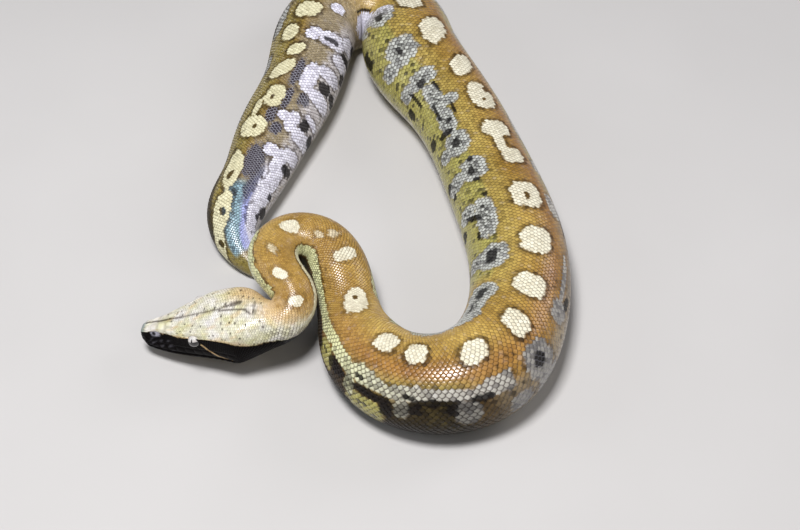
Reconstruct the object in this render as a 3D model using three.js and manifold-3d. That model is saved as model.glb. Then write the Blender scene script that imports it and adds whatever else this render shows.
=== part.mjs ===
// A short-tailed python lying in an open coil, life size, as a still museum model.
//
// Millimetres, +Z up. The origin is on the floor under the middle of the coil. The body lies on
// flats at z = 0; the neck is raised in an S and carries the head clear of the floor. The animal
// is lofted along one route from the snout to the tip of the tail and parted into named lengths,
// which meet face to face with a thin gap.

import * as THREE from 'three';
import { mergeVertices } from 'three/addons/utils/BufferGeometryUtils.js';
import Module from 'manifold-3d';

// ---------- driving dimensions ----------

const SECTION_HEIGHT = 0.9;     // height of the body's section over its width
const PART_GAP = 0.3;           // left between neighbouring lengths
const RING_SIDES = 26;          // corners of one body section
const RING_STEP = 7.5;          // greatest spacing of the body sections
const BEND_WINDOW = 4;          // half of the length over which the bend is measured
const SQUEEZE = 0.12;           // how much flesh gives way on the inside of a tight bend
const ROUTE_SAMPLES = 5000;

const HEAD_LENGTH = 78;         // snout to the cut behind the jaw
const HEAD_STEP = 2.6;          // spacing of the head's sections
const SNOUT_BULGE = 0.9;        // how far the tip of the snout is rounded past its first section
const NECK_BLEND = [58, 78];    // where the head's section turns into the neck's
const TAIL_POINT = 1.2;         // the last cone at the tip of the tail

const MOUTH_END = 57;           // corner of the mouth, along the route
const MOUTH_DEPTH = 0.9;        // depth of the groove between the lips
const MOUTH_HALF_OPENING = 0.55;
const BROW = { at: 35, reach: 4.5, rise: -2.2 };

const EYE = { at: 35, side: 13.7, up: 5.3, radius: 3.6, clearance: 0.3 };
const NOSTRIL = { at: 9.4, side: 6.1, up: 4, radius: 1.1 };
const ROSTRAL_PIT = { at: -0.4, side: 2.3, up: -0.6, radius: 0.75 };
const UPPER_LIP_PITS = { at: [3.6, 7.4], inset: 0.15, above: 1.7, radius: 0.8 };
const LOWER_LIP_PITS = { at: [38, 42, 46, 50], inset: 0.15, below: 2.3, radius: 0.75 };

// The route: place in plan, height of the belly over the floor, and half of the width there.
// A negative height presses the belly flat on the floor.
const ROUTE = [
  { name: 'snout', x: -122, y: -108.8, lift: 11.5, half: 4 },
  { name: 'eye', x: -94, y: -113, lift: 9.5, half: 14 },
  { name: 'jaw', x: -65, y: -114.5, lift: 11.5, half: 19 },
  { name: 'nape', x: -50, y: -116.5, lift: 17, half: 15 },
  { name: 'corner entry', x: -39.8, y: -113.9, lift: 22, half: 13.3 },
  { name: 'corner', x: -35.3, y: -103.5, lift: 26, half: 13.2 },
  { name: 'rise', x: -42, y: -90.8, lift: 28, half: 13.5 },
  { name: 'left neck', x: -47.6, y: -79.5, lift: 27, half: 14.7 },
  { name: 'hairpin entry', x: -47, y: -67.5, lift: 25, half: 15.1 },
  { name: 'hairpin', x: -37, y: -58.5, lift: 22.5, half: 15.6 },
  { name: 'hairpin exit', x: -22.5, y: -60.5, lift: 19, half: 16.6 },
  { name: 'right neck', x: -12.5, y: -73, lift: 12.5, half: 18 },
  { name: 'descent', x: -5.7, y: -95.4, lift: 2.5, half: 18.3 },
  { name: 'landing', x: 1.1, y: -120.3, lift: -2, half: 23.1 },
  { name: 'front bend entry', x: 19.5, y: -144.5, lift: -3, half: 27.2 },
  { name: 'front bend', x: 50.2, y: -151.9, lift: -3, half: 29.6 },
  { name: 'front bend exit', x: 71.6, y: -141.9, lift: -3, half: 30.4 },
  { name: 'right side low', x: 88.9, y: -110.3, lift: -3, half: 29.5 },
  { name: 'right side', x: 92.8, y: -61.3, lift: -3, half: 29.6 },
  { name: 'right side high', x: 78.5, y: 3, lift: -3, half: 28.5 },
  { name: 'right side top', x: 53, y: 71, lift: -3, half: 28.8 },
  { name: 'rear bend entry', x: 30.3, y: 116, lift: -3, half: 31.2 },
  { name: 'rear bend right', x: 24, y: 143, lift: -3, half: 28.5 },
  { name: 'rear bend', x: -1, y: 157, lift: -3, half: 28 },
  { name: 'rear bend left', x: -26, y: 143, lift: -3, half: 27.5 },
  { name: 'rear bend exit', x: -34.5, y: 116, lift: -3, half: 26.5 },
  { name: 'left side top', x: -40, y: 86, lift: -3, half: 25 },
  { name: 'left side', x: -55, y: 43, lift: -2.5, half: 23.7 },
  { name: 'left side low', x: -67.8, y: 4, lift: -2, half: 19.5 },
  { name: 'vent', x: -75.7, y: -20.2, lift: -1.5, half: 17.3 },
  { name: 'tail turn', x: -73, y: -40, lift: -1, half: 12 },
  { name: 'tail under the neck', x: -62, y: -53.5, lift: -0.7, half: 7.2 },
  { name: 'tail curl', x: -47, y: -59.5, lift: -0.5, half: 5 },
  { name: 'tail tip', x: -31, y: -62.5, lift: 0, half: 1.5 },
];

// The head's section at places along it: half width at the crown's ridge and at the lips, height of
// the crown and of its ridge over the axis, and depths of the mouth line and of the chin below it.
const HEAD_PROFILE = [
  { at: 0, ridge: 3.2, lip: 4.4, crown: 2.6, edge: 1.4, mouth: 3.2, chin: 5.8 },
  { at: 2, ridge: 4, lip: 6.2, crown: 4, edge: 2.4, mouth: 4, chin: 7.8 },
  { at: 6, ridge: 4.8, lip: 7.9, crown: 5.6, edge: 3.6, mouth: 5, chin: 9.8 },
  { at: 14, ridge: 6.4, lip: 10, crown: 7.8, edge: 5.1, mouth: 6, chin: 11.4 },
  { at: 24, ridge: 10.4, lip: 12.4, crown: 9.8, edge: 6.6, mouth: 6.6, chin: 12.8 },
  { at: 30, ridge: 13, lip: 13.8, crown: 10.9, edge: 7.4, mouth: 7, chin: 13.4 },
  { at: 40, ridge: 16.6, lip: 16.4, crown: 12.2, edge: 8.2, mouth: 8, chin: 14.2 },
  { at: 50, ridge: 19.2, lip: 18.6, crown: 13.2, edge: 6.4, mouth: 9.6, chin: 15.2 },
  { at: 58, ridge: 20.4, lip: 19.6, crown: 13.8, edge: 5.2, mouth: 10.8, chin: 15.8 },
  { at: 66, ridge: 19.2, lip: 18.4, crown: 14, edge: 3.4, mouth: 11.2, chin: 15 },
  { at: 78, ridge: 15, lip: 14.4, crown: 13.5, edge: 0, mouth: 10, chin: 13.5 },
];
const CROWN_POWER = 2.3;        // 2 is an ellipse, more is squarer
const CHIN_POWER = 2.5;
const CROWN_CORNERS = 7;
const SIDE_CORNERS = 3;
const CHIN_CORNERS = 6;

// The named lengths behind the head, each from the end of the one before to this place.
const LENGTHS = [
  { name: 'neck_1', to: 101 },
  { name: 'neck_2', to: 127 },
  { name: 'neck_3', to: 149 },
  { name: 'neck_4', to: 172 },
  { name: 'neck_5', to: 207 },
  { name: 'body_01', to: 245 },
  { name: 'body_02', to: 280 },
  { name: 'body_03', to: 313 },
  { name: 'body_04', to: 355 },
  { name: 'body_05', to: 430 },
  { name: 'body_06', to: 500 },
  { name: 'body_07', to: 572 },
  { name: 'body_08', to: 610 },
  { name: 'body_09', to: 640 },
  { name: 'body_10', to: 670 },
  { name: 'body_11', to: 715 },
  { name: 'body_12', to: 785 },
  { name: 'body_13', to: 855 },
  { name: 'tail_base', to: 884 },
  { name: 'tail_tip', to: Infinity },
];

const COLOURS = {
  head: { color: 0xd9d3b4, roughness: 0.5, metalness: 0 },
  eye: { color: 0x6f7270, roughness: 0.12, metalness: 0 },
  neck: { color: 0xa9783c, roughness: 0.42, metalness: 0 },
  body: { color: 0xa87a38, roughness: 0.4, metalness: 0 },
  tail: { color: 0xb9bcae, roughness: 0.42, metalness: 0 },
};

// ---------- the route ----------

// A natural cubic spline through the values at the knots.
function naturalSpline(knots, values) {
  const last = knots.length - 1;
  const span = (i) => knots[i + 1] - knots[i];
  const slope = (i) => (values[i + 1] - values[i]) / span(i);
  const curve = new Array(last + 1).fill(0);
  const ratio = new Array(last + 1).fill(0);
  for (let i = 1; i < last; i += 1) {
    const pivot = 2 * (span(i - 1) + span(i)) - span(i - 1) * ratio[i - 1];
    ratio[i] = span(i) / pivot;
    curve[i] = (6 * (slope(i) - slope(i - 1)) - span(i - 1) * curve[i - 1]) / pivot;
  }
  for (let i = last - 1; i > 0; i -= 1) curve[i] -= ratio[i] * curve[i + 1];
  return (at) => {
    let i = 0;
    while (i < last - 1 && at > knots[i + 1]) i += 1;
    const x = at - knots[i];
    const rise = slope(i) - (span(i) * (2 * curve[i] + curve[i + 1])) / 6;
    const bend = (curve[i + 1] - curve[i]) / (6 * span(i));
    return values[i] + x * (rise + x * (curve[i] / 2 + x * bend));
  };
}

// Samples of the route with the distance run from the snout to each.
function sampleRoute() {
  const knots = [0];
  for (let i = 1; i < ROUTE.length; i += 1) {
    const run = Math.hypot(ROUTE[i].x - ROUTE[i - 1].x, ROUTE[i].y - ROUTE[i - 1].y);
    knots.push(knots[i - 1] + run);
  }
  const channel = (key) => naturalSpline(knots, ROUTE.map((station) => station[key]));
  const [x, y, lift, half] = ['x', 'y', 'lift', 'half'].map(channel);
  const end = knots[knots.length - 1];
  const samples = [];
  for (let i = 0; i <= ROUTE_SAMPLES; i += 1) {
    const at = (end * i) / ROUTE_SAMPLES;
    const centre = new THREE.Vector3(x(at), y(at), lift(at) + SECTION_HEIGHT * half(at));
    const run = i ? samples[i - 1].run + centre.distanceTo(samples[i - 1].centre) : 0;
    samples.push({ centre, half: half(at), run });
  }
  return samples;
}

const SAMPLES = sampleRoute();
const TOTAL_LENGTH = SAMPLES[ROUTE_SAMPLES].run;

// Centre and half width of the body at a distance from the snout.
function along(at) {
  const held = THREE.MathUtils.clamp(at, 0, TOTAL_LENGTH);
  let low = 0;
  let high = ROUTE_SAMPLES;
  while (high - low > 1) {
    const middle = (low + high) >> 1;
    if (SAMPLES[middle].run > held) high = middle;
    else low = middle;
  }
  const [a, b] = [SAMPLES[low], SAMPLES[high]];
  const part = (held - a.run) / (b.run - a.run);
  return {
    centre: a.centre.clone().lerp(b.centre, part),
    half: THREE.MathUtils.lerp(a.half, b.half, part),
  };
}

function headingAt(at) {
  return along(at + 0.5).centre.sub(along(at - 0.5).centre).normalize();
}

// The section's own frame: forward along the route, side to the right of the way from head to
// tail, up away from the belly, and the bend, positive towards that side.
function frameAt(at) {
  const { centre, half } = along(at);
  const forward = headingAt(at);
  const side = new THREE.Vector3(forward.y, -forward.x, 0).normalize();
  const up = new THREE.Vector3().crossVectors(side, forward);
  const turn = headingAt(at + BEND_WINDOW).sub(headingAt(at - BEND_WINDOW));
  return { centre, half, forward, side, up, bend: turn.dot(side) / (2 * BEND_WINDOW) };
}

// A point of a section at (across, above) from its centre, never below the floor. On the inside
// of a tight bend it is drawn in towards the centre.
function sectionPoint(frame, across, above) {
  const crowding = Math.max(0, frame.bend * across);
  const drawnIn = across / (1 + SQUEEZE * crowding ** 4);
  const point = frame.centre.clone();
  point.addScaledVector(frame.side, drawnIn).addScaledVector(frame.up, above);
  point.z = Math.max(point.z, 0);
  return point;
}

// ---------- lofts ----------

// A closed mesh through rings of equal corner counts. Each end is closed to its own point.
function loft(rings, firstTip, lastTip) {
  const sides = rings[0].length;
  const points = [...rings.flat(), firstTip, lastTip];
  const first = points.length - 2;
  const faces = [];
  for (let corner = 0; corner < sides; corner += 1) {
    const next = (corner + 1) % sides;
    for (let ring = 0; ring < rings.length - 1; ring += 1) {
      const a = ring * sides + corner;
      const b = ring * sides + next;
      faces.push(a, b, b + sides, a, b + sides, a + sides);
    }
    const end = (rings.length - 1) * sides;
    faces.push(first, next, corner, first + 1, end + corner, end + next);
  }
  const geometry = new THREE.BufferGeometry();
  const positions = points.flatMap((point) => point.toArray());
  geometry.setAttribute('position', new THREE.Float32BufferAttribute(positions, 3));
  geometry.setIndex(faces);
  return geometry;
}

function middleOf(ring) {
  const sum = ring.reduce((total, point) => total.add(point), new THREE.Vector3());
  return sum.divideScalar(ring.length);
}

function bodyRing(frame) {
  const ring = [];
  for (let corner = 0; corner < RING_SIDES; corner += 1) {
    const turn = (2 * Math.PI * corner) / RING_SIDES;
    const across = frame.half * Math.sin(turn);
    const above = SECTION_HEIGHT * frame.half * Math.cos(turn);
    ring.push(sectionPoint(frame, across, above));
  }
  return ring;
}

// A frame moved along its own heading, so that the faces on both sides of a cut are parallel.
function shifted(frame, distance) {
  const centre = frame.centre.clone().addScaledVector(frame.forward, distance);
  return { ...frame, centre };
}

function bodyLength(from, to) {
  const start = shifted(frameAt(from), PART_GAP / 2);
  const isTail = to >= TOTAL_LENGTH;
  const stop = isTail ? frameAt(TOTAL_LENGTH) : shifted(frameAt(to), -PART_GAP / 2);
  const end = Math.min(to, TOTAL_LENGTH);
  const steps = Math.ceil((end - from) / RING_STEP);
  const rings = [bodyRing(start)];
  for (let step = 1; step < steps; step += 1) {
    rings.push(bodyRing(frameAt(from + ((end - from) * step) / steps)));
  }
  rings.push(bodyRing(stop));
  const lastMiddle = middleOf(rings[rings.length - 1]);
  if (isTail) lastMiddle.addScaledVector(stop.forward, TAIL_POINT);
  return loft(rings, middleOf(rings[0]), lastMiddle);
}

// ---------- the head ----------

const HEAD = Object.fromEntries(
  ['ridge', 'lip', 'crown', 'edge', 'mouth', 'chin'].map((key) => [
    key,
    naturalSpline(HEAD_PROFILE.map((row) => row.at), HEAD_PROFILE.map((row) => row[key])),
  ]),
);

// One side of the head's section from the crown's middle to the chin's middle, as pairs of
// (across, above): the domed crown, the upright side, the groove of the mouth, the lower jaw.
function headHalfSection(at) {
  const [ridge, lip] = [HEAD.ridge(at), HEAD.lip(at)];
  const [crown, edge] = [HEAD.crown(at), HEAD.edge(at)];
  const [mouth, chin] = [HEAD.mouth(at), HEAD.chin(at)];
  const open = THREE.MathUtils.smoothstep(MOUTH_END - at, 0, 3);
  const brow = BROW.rise * Math.exp(-(((at - BROW.at) / BROW.reach) ** 2));
  const corners = [];
  for (let i = 0; i < CROWN_CORNERS; i += 1) {
    const turn = (Math.PI / 2) * (i / (CROWN_CORNERS - 1));
    const across = ridge * Math.sin(turn) ** (2 / CROWN_POWER);
    const above = edge + (crown - edge) * Math.cos(turn) ** (2 / CROWN_POWER);
    const onBrow = i === CROWN_CORNERS - 2 ? brow : 0;
    corners.push([across + onBrow * 0.6, above + onBrow]);
  }
  for (let i = 1; i <= SIDE_CORNERS; i += 1) {
    const part = i / SIDE_CORNERS;
    const swell = 0.35 * Math.sin(Math.PI * part);
    const above = THREE.MathUtils.lerp(edge, -mouth + MOUTH_HALF_OPENING, part);
    corners.push([THREE.MathUtils.lerp(ridge, lip, part) + swell, above]);
  }
  corners.push([lip - MOUTH_DEPTH * open, -mouth]);
  for (let i = 0; i < CHIN_CORNERS; i += 1) {
    const turn = (Math.PI / 2) * (i / (CHIN_CORNERS - 1));
    const below = chin - mouth - MOUTH_HALF_OPENING;
    const across = (lip - 0.3) * Math.cos(turn) ** (2 / CHIN_POWER);
    const above = -mouth - MOUTH_HALF_OPENING - below * Math.sin(turn) ** (2 / CHIN_POWER);
    corners.push([across, above]);
  }
  return corners;
}

// The head's section, turned into the neck's ellipse behind the jaw.
function headRing(frame, at) {
  const right = headHalfSection(at);
  const left = right.slice(1, -1).reverse().map(([across, above]) => [-across, above]);
  const blend = THREE.MathUtils.smoothstep(at, ...NECK_BLEND);
  return [...right, ...left].map(([across, above]) => {
    const turn = Math.atan2(across / frame.half, above / (SECTION_HEIGHT * frame.half));
    const neckAcross = frame.half * Math.sin(turn);
    const neckAbove = SECTION_HEIGHT * frame.half * Math.cos(turn);
    const mixedAcross = THREE.MathUtils.lerp(across, neckAcross, blend);
    const mixedAbove = THREE.MathUtils.lerp(above, neckAbove, blend);
    return sectionPoint(frame, mixedAcross, mixedAbove);
  });
}

// The head's place and directions at a distance along it, for the pieces set in it.
function headPoint(at, across, above) {
  const frame = frameAt(Math.max(at, 0));
  return sectionPoint(shifted(frame, Math.min(at, 0)), across, above);
}

const wasm = await Module();
wasm.setup();

function toSolid(geometry) {
  const bare = geometry.clone();
  bare.deleteAttribute('normal');
  bare.deleteAttribute('uv');
  const welded = mergeVertices(bare, 1e-4);
  const mesh = new wasm.Mesh({
    numProp: 3,
    vertProperties: new Float32Array(welded.attributes.position.array),
    triVerts: new Uint32Array(welded.index.array),
  });
  return new wasm.Manifold(mesh);
}

function toGeometry(solid) {
  const mesh = solid.getMesh();
  const geometry = new THREE.BufferGeometry();
  const positions = new THREE.BufferAttribute(new Float32Array(mesh.vertProperties), 3);
  geometry.setAttribute('position', positions);
  geometry.setIndex(new THREE.BufferAttribute(new Uint32Array(mesh.triVerts), 1));
  return geometry;
}

function ballAt(centre, radius, detail) {
  const ball = new THREE.IcosahedronGeometry(radius, detail);
  ball.translate(centre.x, centre.y, centre.z);
  return ball;
}

function eyeCentre(hand) {
  return headPoint(EYE.at, hand * EYE.side, EYE.up);
}

// The small pits of one side of the head: nostril, rostral pit and the heat pits of the lips.
function pitsOn(hand) {
  const pits = [
    ballAt(headPoint(NOSTRIL.at, hand * NOSTRIL.side, NOSTRIL.up), NOSTRIL.radius, 1),
    ballAt(
      headPoint(ROSTRAL_PIT.at, hand * ROSTRAL_PIT.side, ROSTRAL_PIT.up),
      ROSTRAL_PIT.radius,
      1,
    ),
  ];
  for (const at of UPPER_LIP_PITS.at) {
    const across = hand * (HEAD.lip(at) + UPPER_LIP_PITS.inset);
    const centre = headPoint(at, across, -HEAD.mouth(at) + UPPER_LIP_PITS.above);
    pits.push(ballAt(centre, UPPER_LIP_PITS.radius, 1));
  }
  for (const at of LOWER_LIP_PITS.at) {
    const across = hand * (HEAD.lip(at) - LOWER_LIP_PITS.inset);
    const centre = headPoint(at, across, -HEAD.mouth(at) - LOWER_LIP_PITS.below);
    pits.push(ballAt(centre, LOWER_LIP_PITS.radius, 1));
  }
  return pits;
}

function headGeometry() {
  const stop = shifted(frameAt(HEAD_LENGTH), -PART_GAP / 2);
  const rings = [0, 0.7, 1.8, 3.4].map((at) => headRing(frameAt(at), at));
  const steps = Math.ceil((HEAD_LENGTH - 5.4) / HEAD_STEP);
  for (let step = 0; step < steps; step += 1) {
    const at = 5.4 + ((HEAD_LENGTH - 5.4) * step) / steps;
    rings.push(headRing(frameAt(at), at));
  }
  rings.push(headRing(stop, HEAD_LENGTH));
  const snoutTip = middleOf(rings[0]).addScaledVector(frameAt(0).forward, -SNOUT_BULGE);
  let head = toSolid(loft(rings, snoutTip, middleOf(rings[rings.length - 1])));
  for (const hand of [1, -1]) {
    head = head.subtract(toSolid(ballAt(eyeCentre(hand), EYE.radius + EYE.clearance, 3)));
    for (const pit of pitsOn(hand)) head = head.subtract(toSolid(pit));
  }
  return toGeometry(head);
}

// ---------- the model ----------

const group = new THREE.Group();

function addNode(name, geometry, look) {
  geometry.computeVertexNormals();
  const mesh = new THREE.Mesh(geometry, new THREE.MeshStandardMaterial(look));
  mesh.name = name;
  group.add(mesh);
}

addNode('head', headGeometry(), COLOURS.head);
addNode('eye_right', ballAt(eyeCentre(-1), EYE.radius, 3), COLOURS.eye);
addNode('eye_left', ballAt(eyeCentre(1), EYE.radius, 3), COLOURS.eye);

let from = HEAD_LENGTH;
for (const { name, to } of LENGTHS) {
  addNode(name, bodyLength(from, to), COLOURS[name.split('_')[0]]);
  from = to;
}

export default group;
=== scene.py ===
"""A short-tailed python lying in an open coil, life size, as a still museum model.

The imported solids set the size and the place. The skin, the scales, the head's shields and the
belly's scutes are laid on the same surface, worked out from one route from the snout to the tip
of the tail. Places on the animal are a distance along it in millimetres and a turn round it in
degrees, 0 on the middle of the back, positive towards the animal's left. Meshes are in metres.
"""

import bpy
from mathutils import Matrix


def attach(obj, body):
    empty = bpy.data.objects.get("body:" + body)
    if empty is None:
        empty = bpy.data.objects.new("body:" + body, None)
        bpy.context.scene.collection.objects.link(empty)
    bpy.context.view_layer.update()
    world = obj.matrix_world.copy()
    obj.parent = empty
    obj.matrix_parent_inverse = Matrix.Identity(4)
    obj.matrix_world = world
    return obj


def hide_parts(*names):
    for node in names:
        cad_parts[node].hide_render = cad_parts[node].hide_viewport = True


bl_info = {
    "name": "Coiled Python",
    "version": (1, 0, 0),
    "blender": (4, 5, 0),
    "location": "3D View > Sidebar > Python",
    "description": "Builds the skin, scales, shields, scutes and eyes of a coiled python",
    "category": "Object",
}

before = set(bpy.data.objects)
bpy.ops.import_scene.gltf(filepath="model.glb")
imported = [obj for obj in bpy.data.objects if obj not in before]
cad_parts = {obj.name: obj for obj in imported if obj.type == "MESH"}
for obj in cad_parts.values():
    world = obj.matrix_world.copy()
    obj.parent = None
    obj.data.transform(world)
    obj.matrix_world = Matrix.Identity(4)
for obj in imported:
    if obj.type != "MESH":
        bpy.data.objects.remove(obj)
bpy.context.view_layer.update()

import functools
import math
from types import SimpleNamespace

import bmesh
import bpy
import numpy as np
from bpy.props import FloatProperty, FloatVectorProperty, IntProperty, PointerProperty
from bpy.types import Operator, Panel, PropertyGroup
from mathutils import Vector

MM = 0.001
SEED = 7

# ---------- the animal's form, in millimetres ----------

SECTION_HEIGHT = 0.9
SQUEEZE = 0.12
BEND_WINDOW = 4
ROUTE_SAMPLES = 5000

# Place in plan, height of the belly over the floor, half width, and how far the middle of the back
# is turned towards the animal's left, in degrees.
ROUTE = [
    # head
    (-122, -108.8, 11.5, 4, 0), (-94, -113, 9.5, 14, 0), (-65, -114.5, 11.5, 19, 0),
    # S-bend of the neck
    (-50, -116.5, 17, 15, 2), (-39.8, -113.9, 22, 13.3, 8), (-35.3, -103.5, 26, 13.2, 4),
    (-42, -90.8, 28, 13.5, -14), (-47.6, -79.5, 27, 14.7, -8), (-47, -67.5, 25, 15.1, 4),
    (-37, -58.5, 22.5, 15.6, 7), (-22.5, -60.5, 19, 16.6, 0), (-12.5, -73, 12.5, 18, -12),
    # down to the floor and the front bend
    (-5.7, -95.4, 2.5, 18.3, -13), (1.1, -120.3, -2, 23.1, -5), (19.5, -144.5, -3, 27.2, 0),
    (50.2, -151.9, -3, 29.6, 0), (71.6, -141.9, -3, 30.4, 4),
    # right side
    (88.9, -110.3, -3, 29.5, 8), (92.8, -61.3, -3, 29.6, 17), (78.5, 3, -3, 28.5, 18),
    (53, 71, -3, 28.8, 22),
    # rear bend
    (30.3, 116, -3, 31.2, 16), (24, 143, -3, 28.5, 12), (-1, 157, -3, 28, 8),
    (-26, 143, -3, 27.5, 6), (-34.5, 116, -3, 26.5, 12),
    # left side
    (-40, 86, -3, 25, 18), (-55, 43, -2.5, 23.7, 13), (-67.8, 4, -2, 19.5, 17),
    (-75.7, -20.2, -1.5, 17.3, 20),
    # tail
    (-73, -40, -1, 12, 20), (-62, -53.5, -0.7, 7.2, 15), (-47, -59.5, -0.5, 5, 10),
    (-31, -62.5, 0, 1.5, 5),
]

# Along the head: half width at the crown's ridge and at the lips, height of the crown and of its
# ridge over the axis, and depths of the mouth line and of the chin below it.
HEAD_PROFILE = [
    (0, 3.2, 4.4, 2.6, 1.4, 3.2, 5.8),
    (2, 4, 6.2, 4, 2.4, 4, 7.8),
    (6, 4.8, 7.9, 5.6, 3.6, 5, 9.8),
    (14, 6.4, 10, 7.8, 5.1, 6, 11.4),
    (24, 10.4, 12.4, 9.8, 6.6, 6.6, 12.8),
    (30, 13, 13.8, 10.9, 7.4, 7, 13.4),
    (40, 16.6, 16.4, 12.2, 8.2, 8, 14.2),
    (50, 19.2, 18.6, 13.2, 6.4, 9.6, 15.2),
    (58, 20.4, 19.6, 13.8, 5.2, 10.8, 15.8),
    (66, 19.2, 18.4, 14, 3.4, 11.2, 15),
    (78, 15, 14.4, 13.5, 0, 10, 13.5),
]
HEAD_LENGTH = 78
NECK_BLEND = (58, 78)
TWIST_BLEND = (78, 98)          # where the head's way of counting the turn gives way to the neck's
SNOUT_BULGE, SNOUT_DROP = 0.2, 1.6
INSET = 0.992                   # keeps rounded sections within the solids' flat facets
TAIL_POINT = 1.2
CROWN_POWER = 2.3
CHIN_POWER = 2.5
MOUTH_END = 57
MOUTH_DEPTH = 0.9
MOUTH_HALF_OPENING = 0.55
LIP_OVERHANG, CHEEK_BULGE = 0.3, 0.35
BROW_AT, BROW_REACH, BROW_RISE = 35, 4.5, -2.2
BROW_DOME, BROW_DOME_REACH = 1.31, 0.2
EYE_AT, EYE_SIDE, EYE_UP, EYE_RADIUS = 35, 13.7, 5.3, 3.6
NOSTRIL_AT, NOSTRIL_SIDE, NOSTRIL_UP = 9.4, 6.1, 4

# The turn at which the head's crown ends, and where the groove of the mouth begins and ends.
RIDGE_TURN = 65
LIP_TURN = 108
JAW_TURN = 115
BELLY_TURN = 137                # the scutes of the belly begin here
SCUTES_FROM = 62                # and along the animal here
BODY_FROM = 84                  # the end of the head's own surface and markings
NORMAL_REACH, NORMAL_TURN = 0.35, 0.9


def smoothstep(low, high, value):
    part = np.clip((value - low) / (high - low), 0, 1)
    return part * part * (3 - 2 * part)


def mix(a, b, part):
    return a + (b - a) * part


def above_floor(points):
    points[:, 2] = np.maximum(points[:, 2], 0)
    return points


def natural_spline(knots, values):
    """A natural cubic spline through the values at the knots, for arrays."""
    knots, values = np.array(knots, float), np.array(values, float)
    count, span = len(knots), np.diff(knots)
    slope = np.diff(values) / span
    system, right = np.eye(count), np.zeros(count)
    for i in range(1, count - 1):
        system[i, i - 1 : i + 2] = span[i - 1], 2 * (span[i - 1] + span[i]), span[i]
        right[i] = 6 * (slope[i] - slope[i - 1])
    curve = np.linalg.solve(system, right)

    def at(place):
        i = np.clip(np.searchsorted(knots, place, side="right") - 1, 0, count - 2)
        x = place - knots[i]
        rise = slope[i] - span[i] * (2 * curve[i] + curve[i + 1]) / 6
        bend = (curve[i + 1] - curve[i]) / (6 * span[i])
        return values[i] + x * (rise + x * (curve[i] / 2 + x * bend))

    return at


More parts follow.
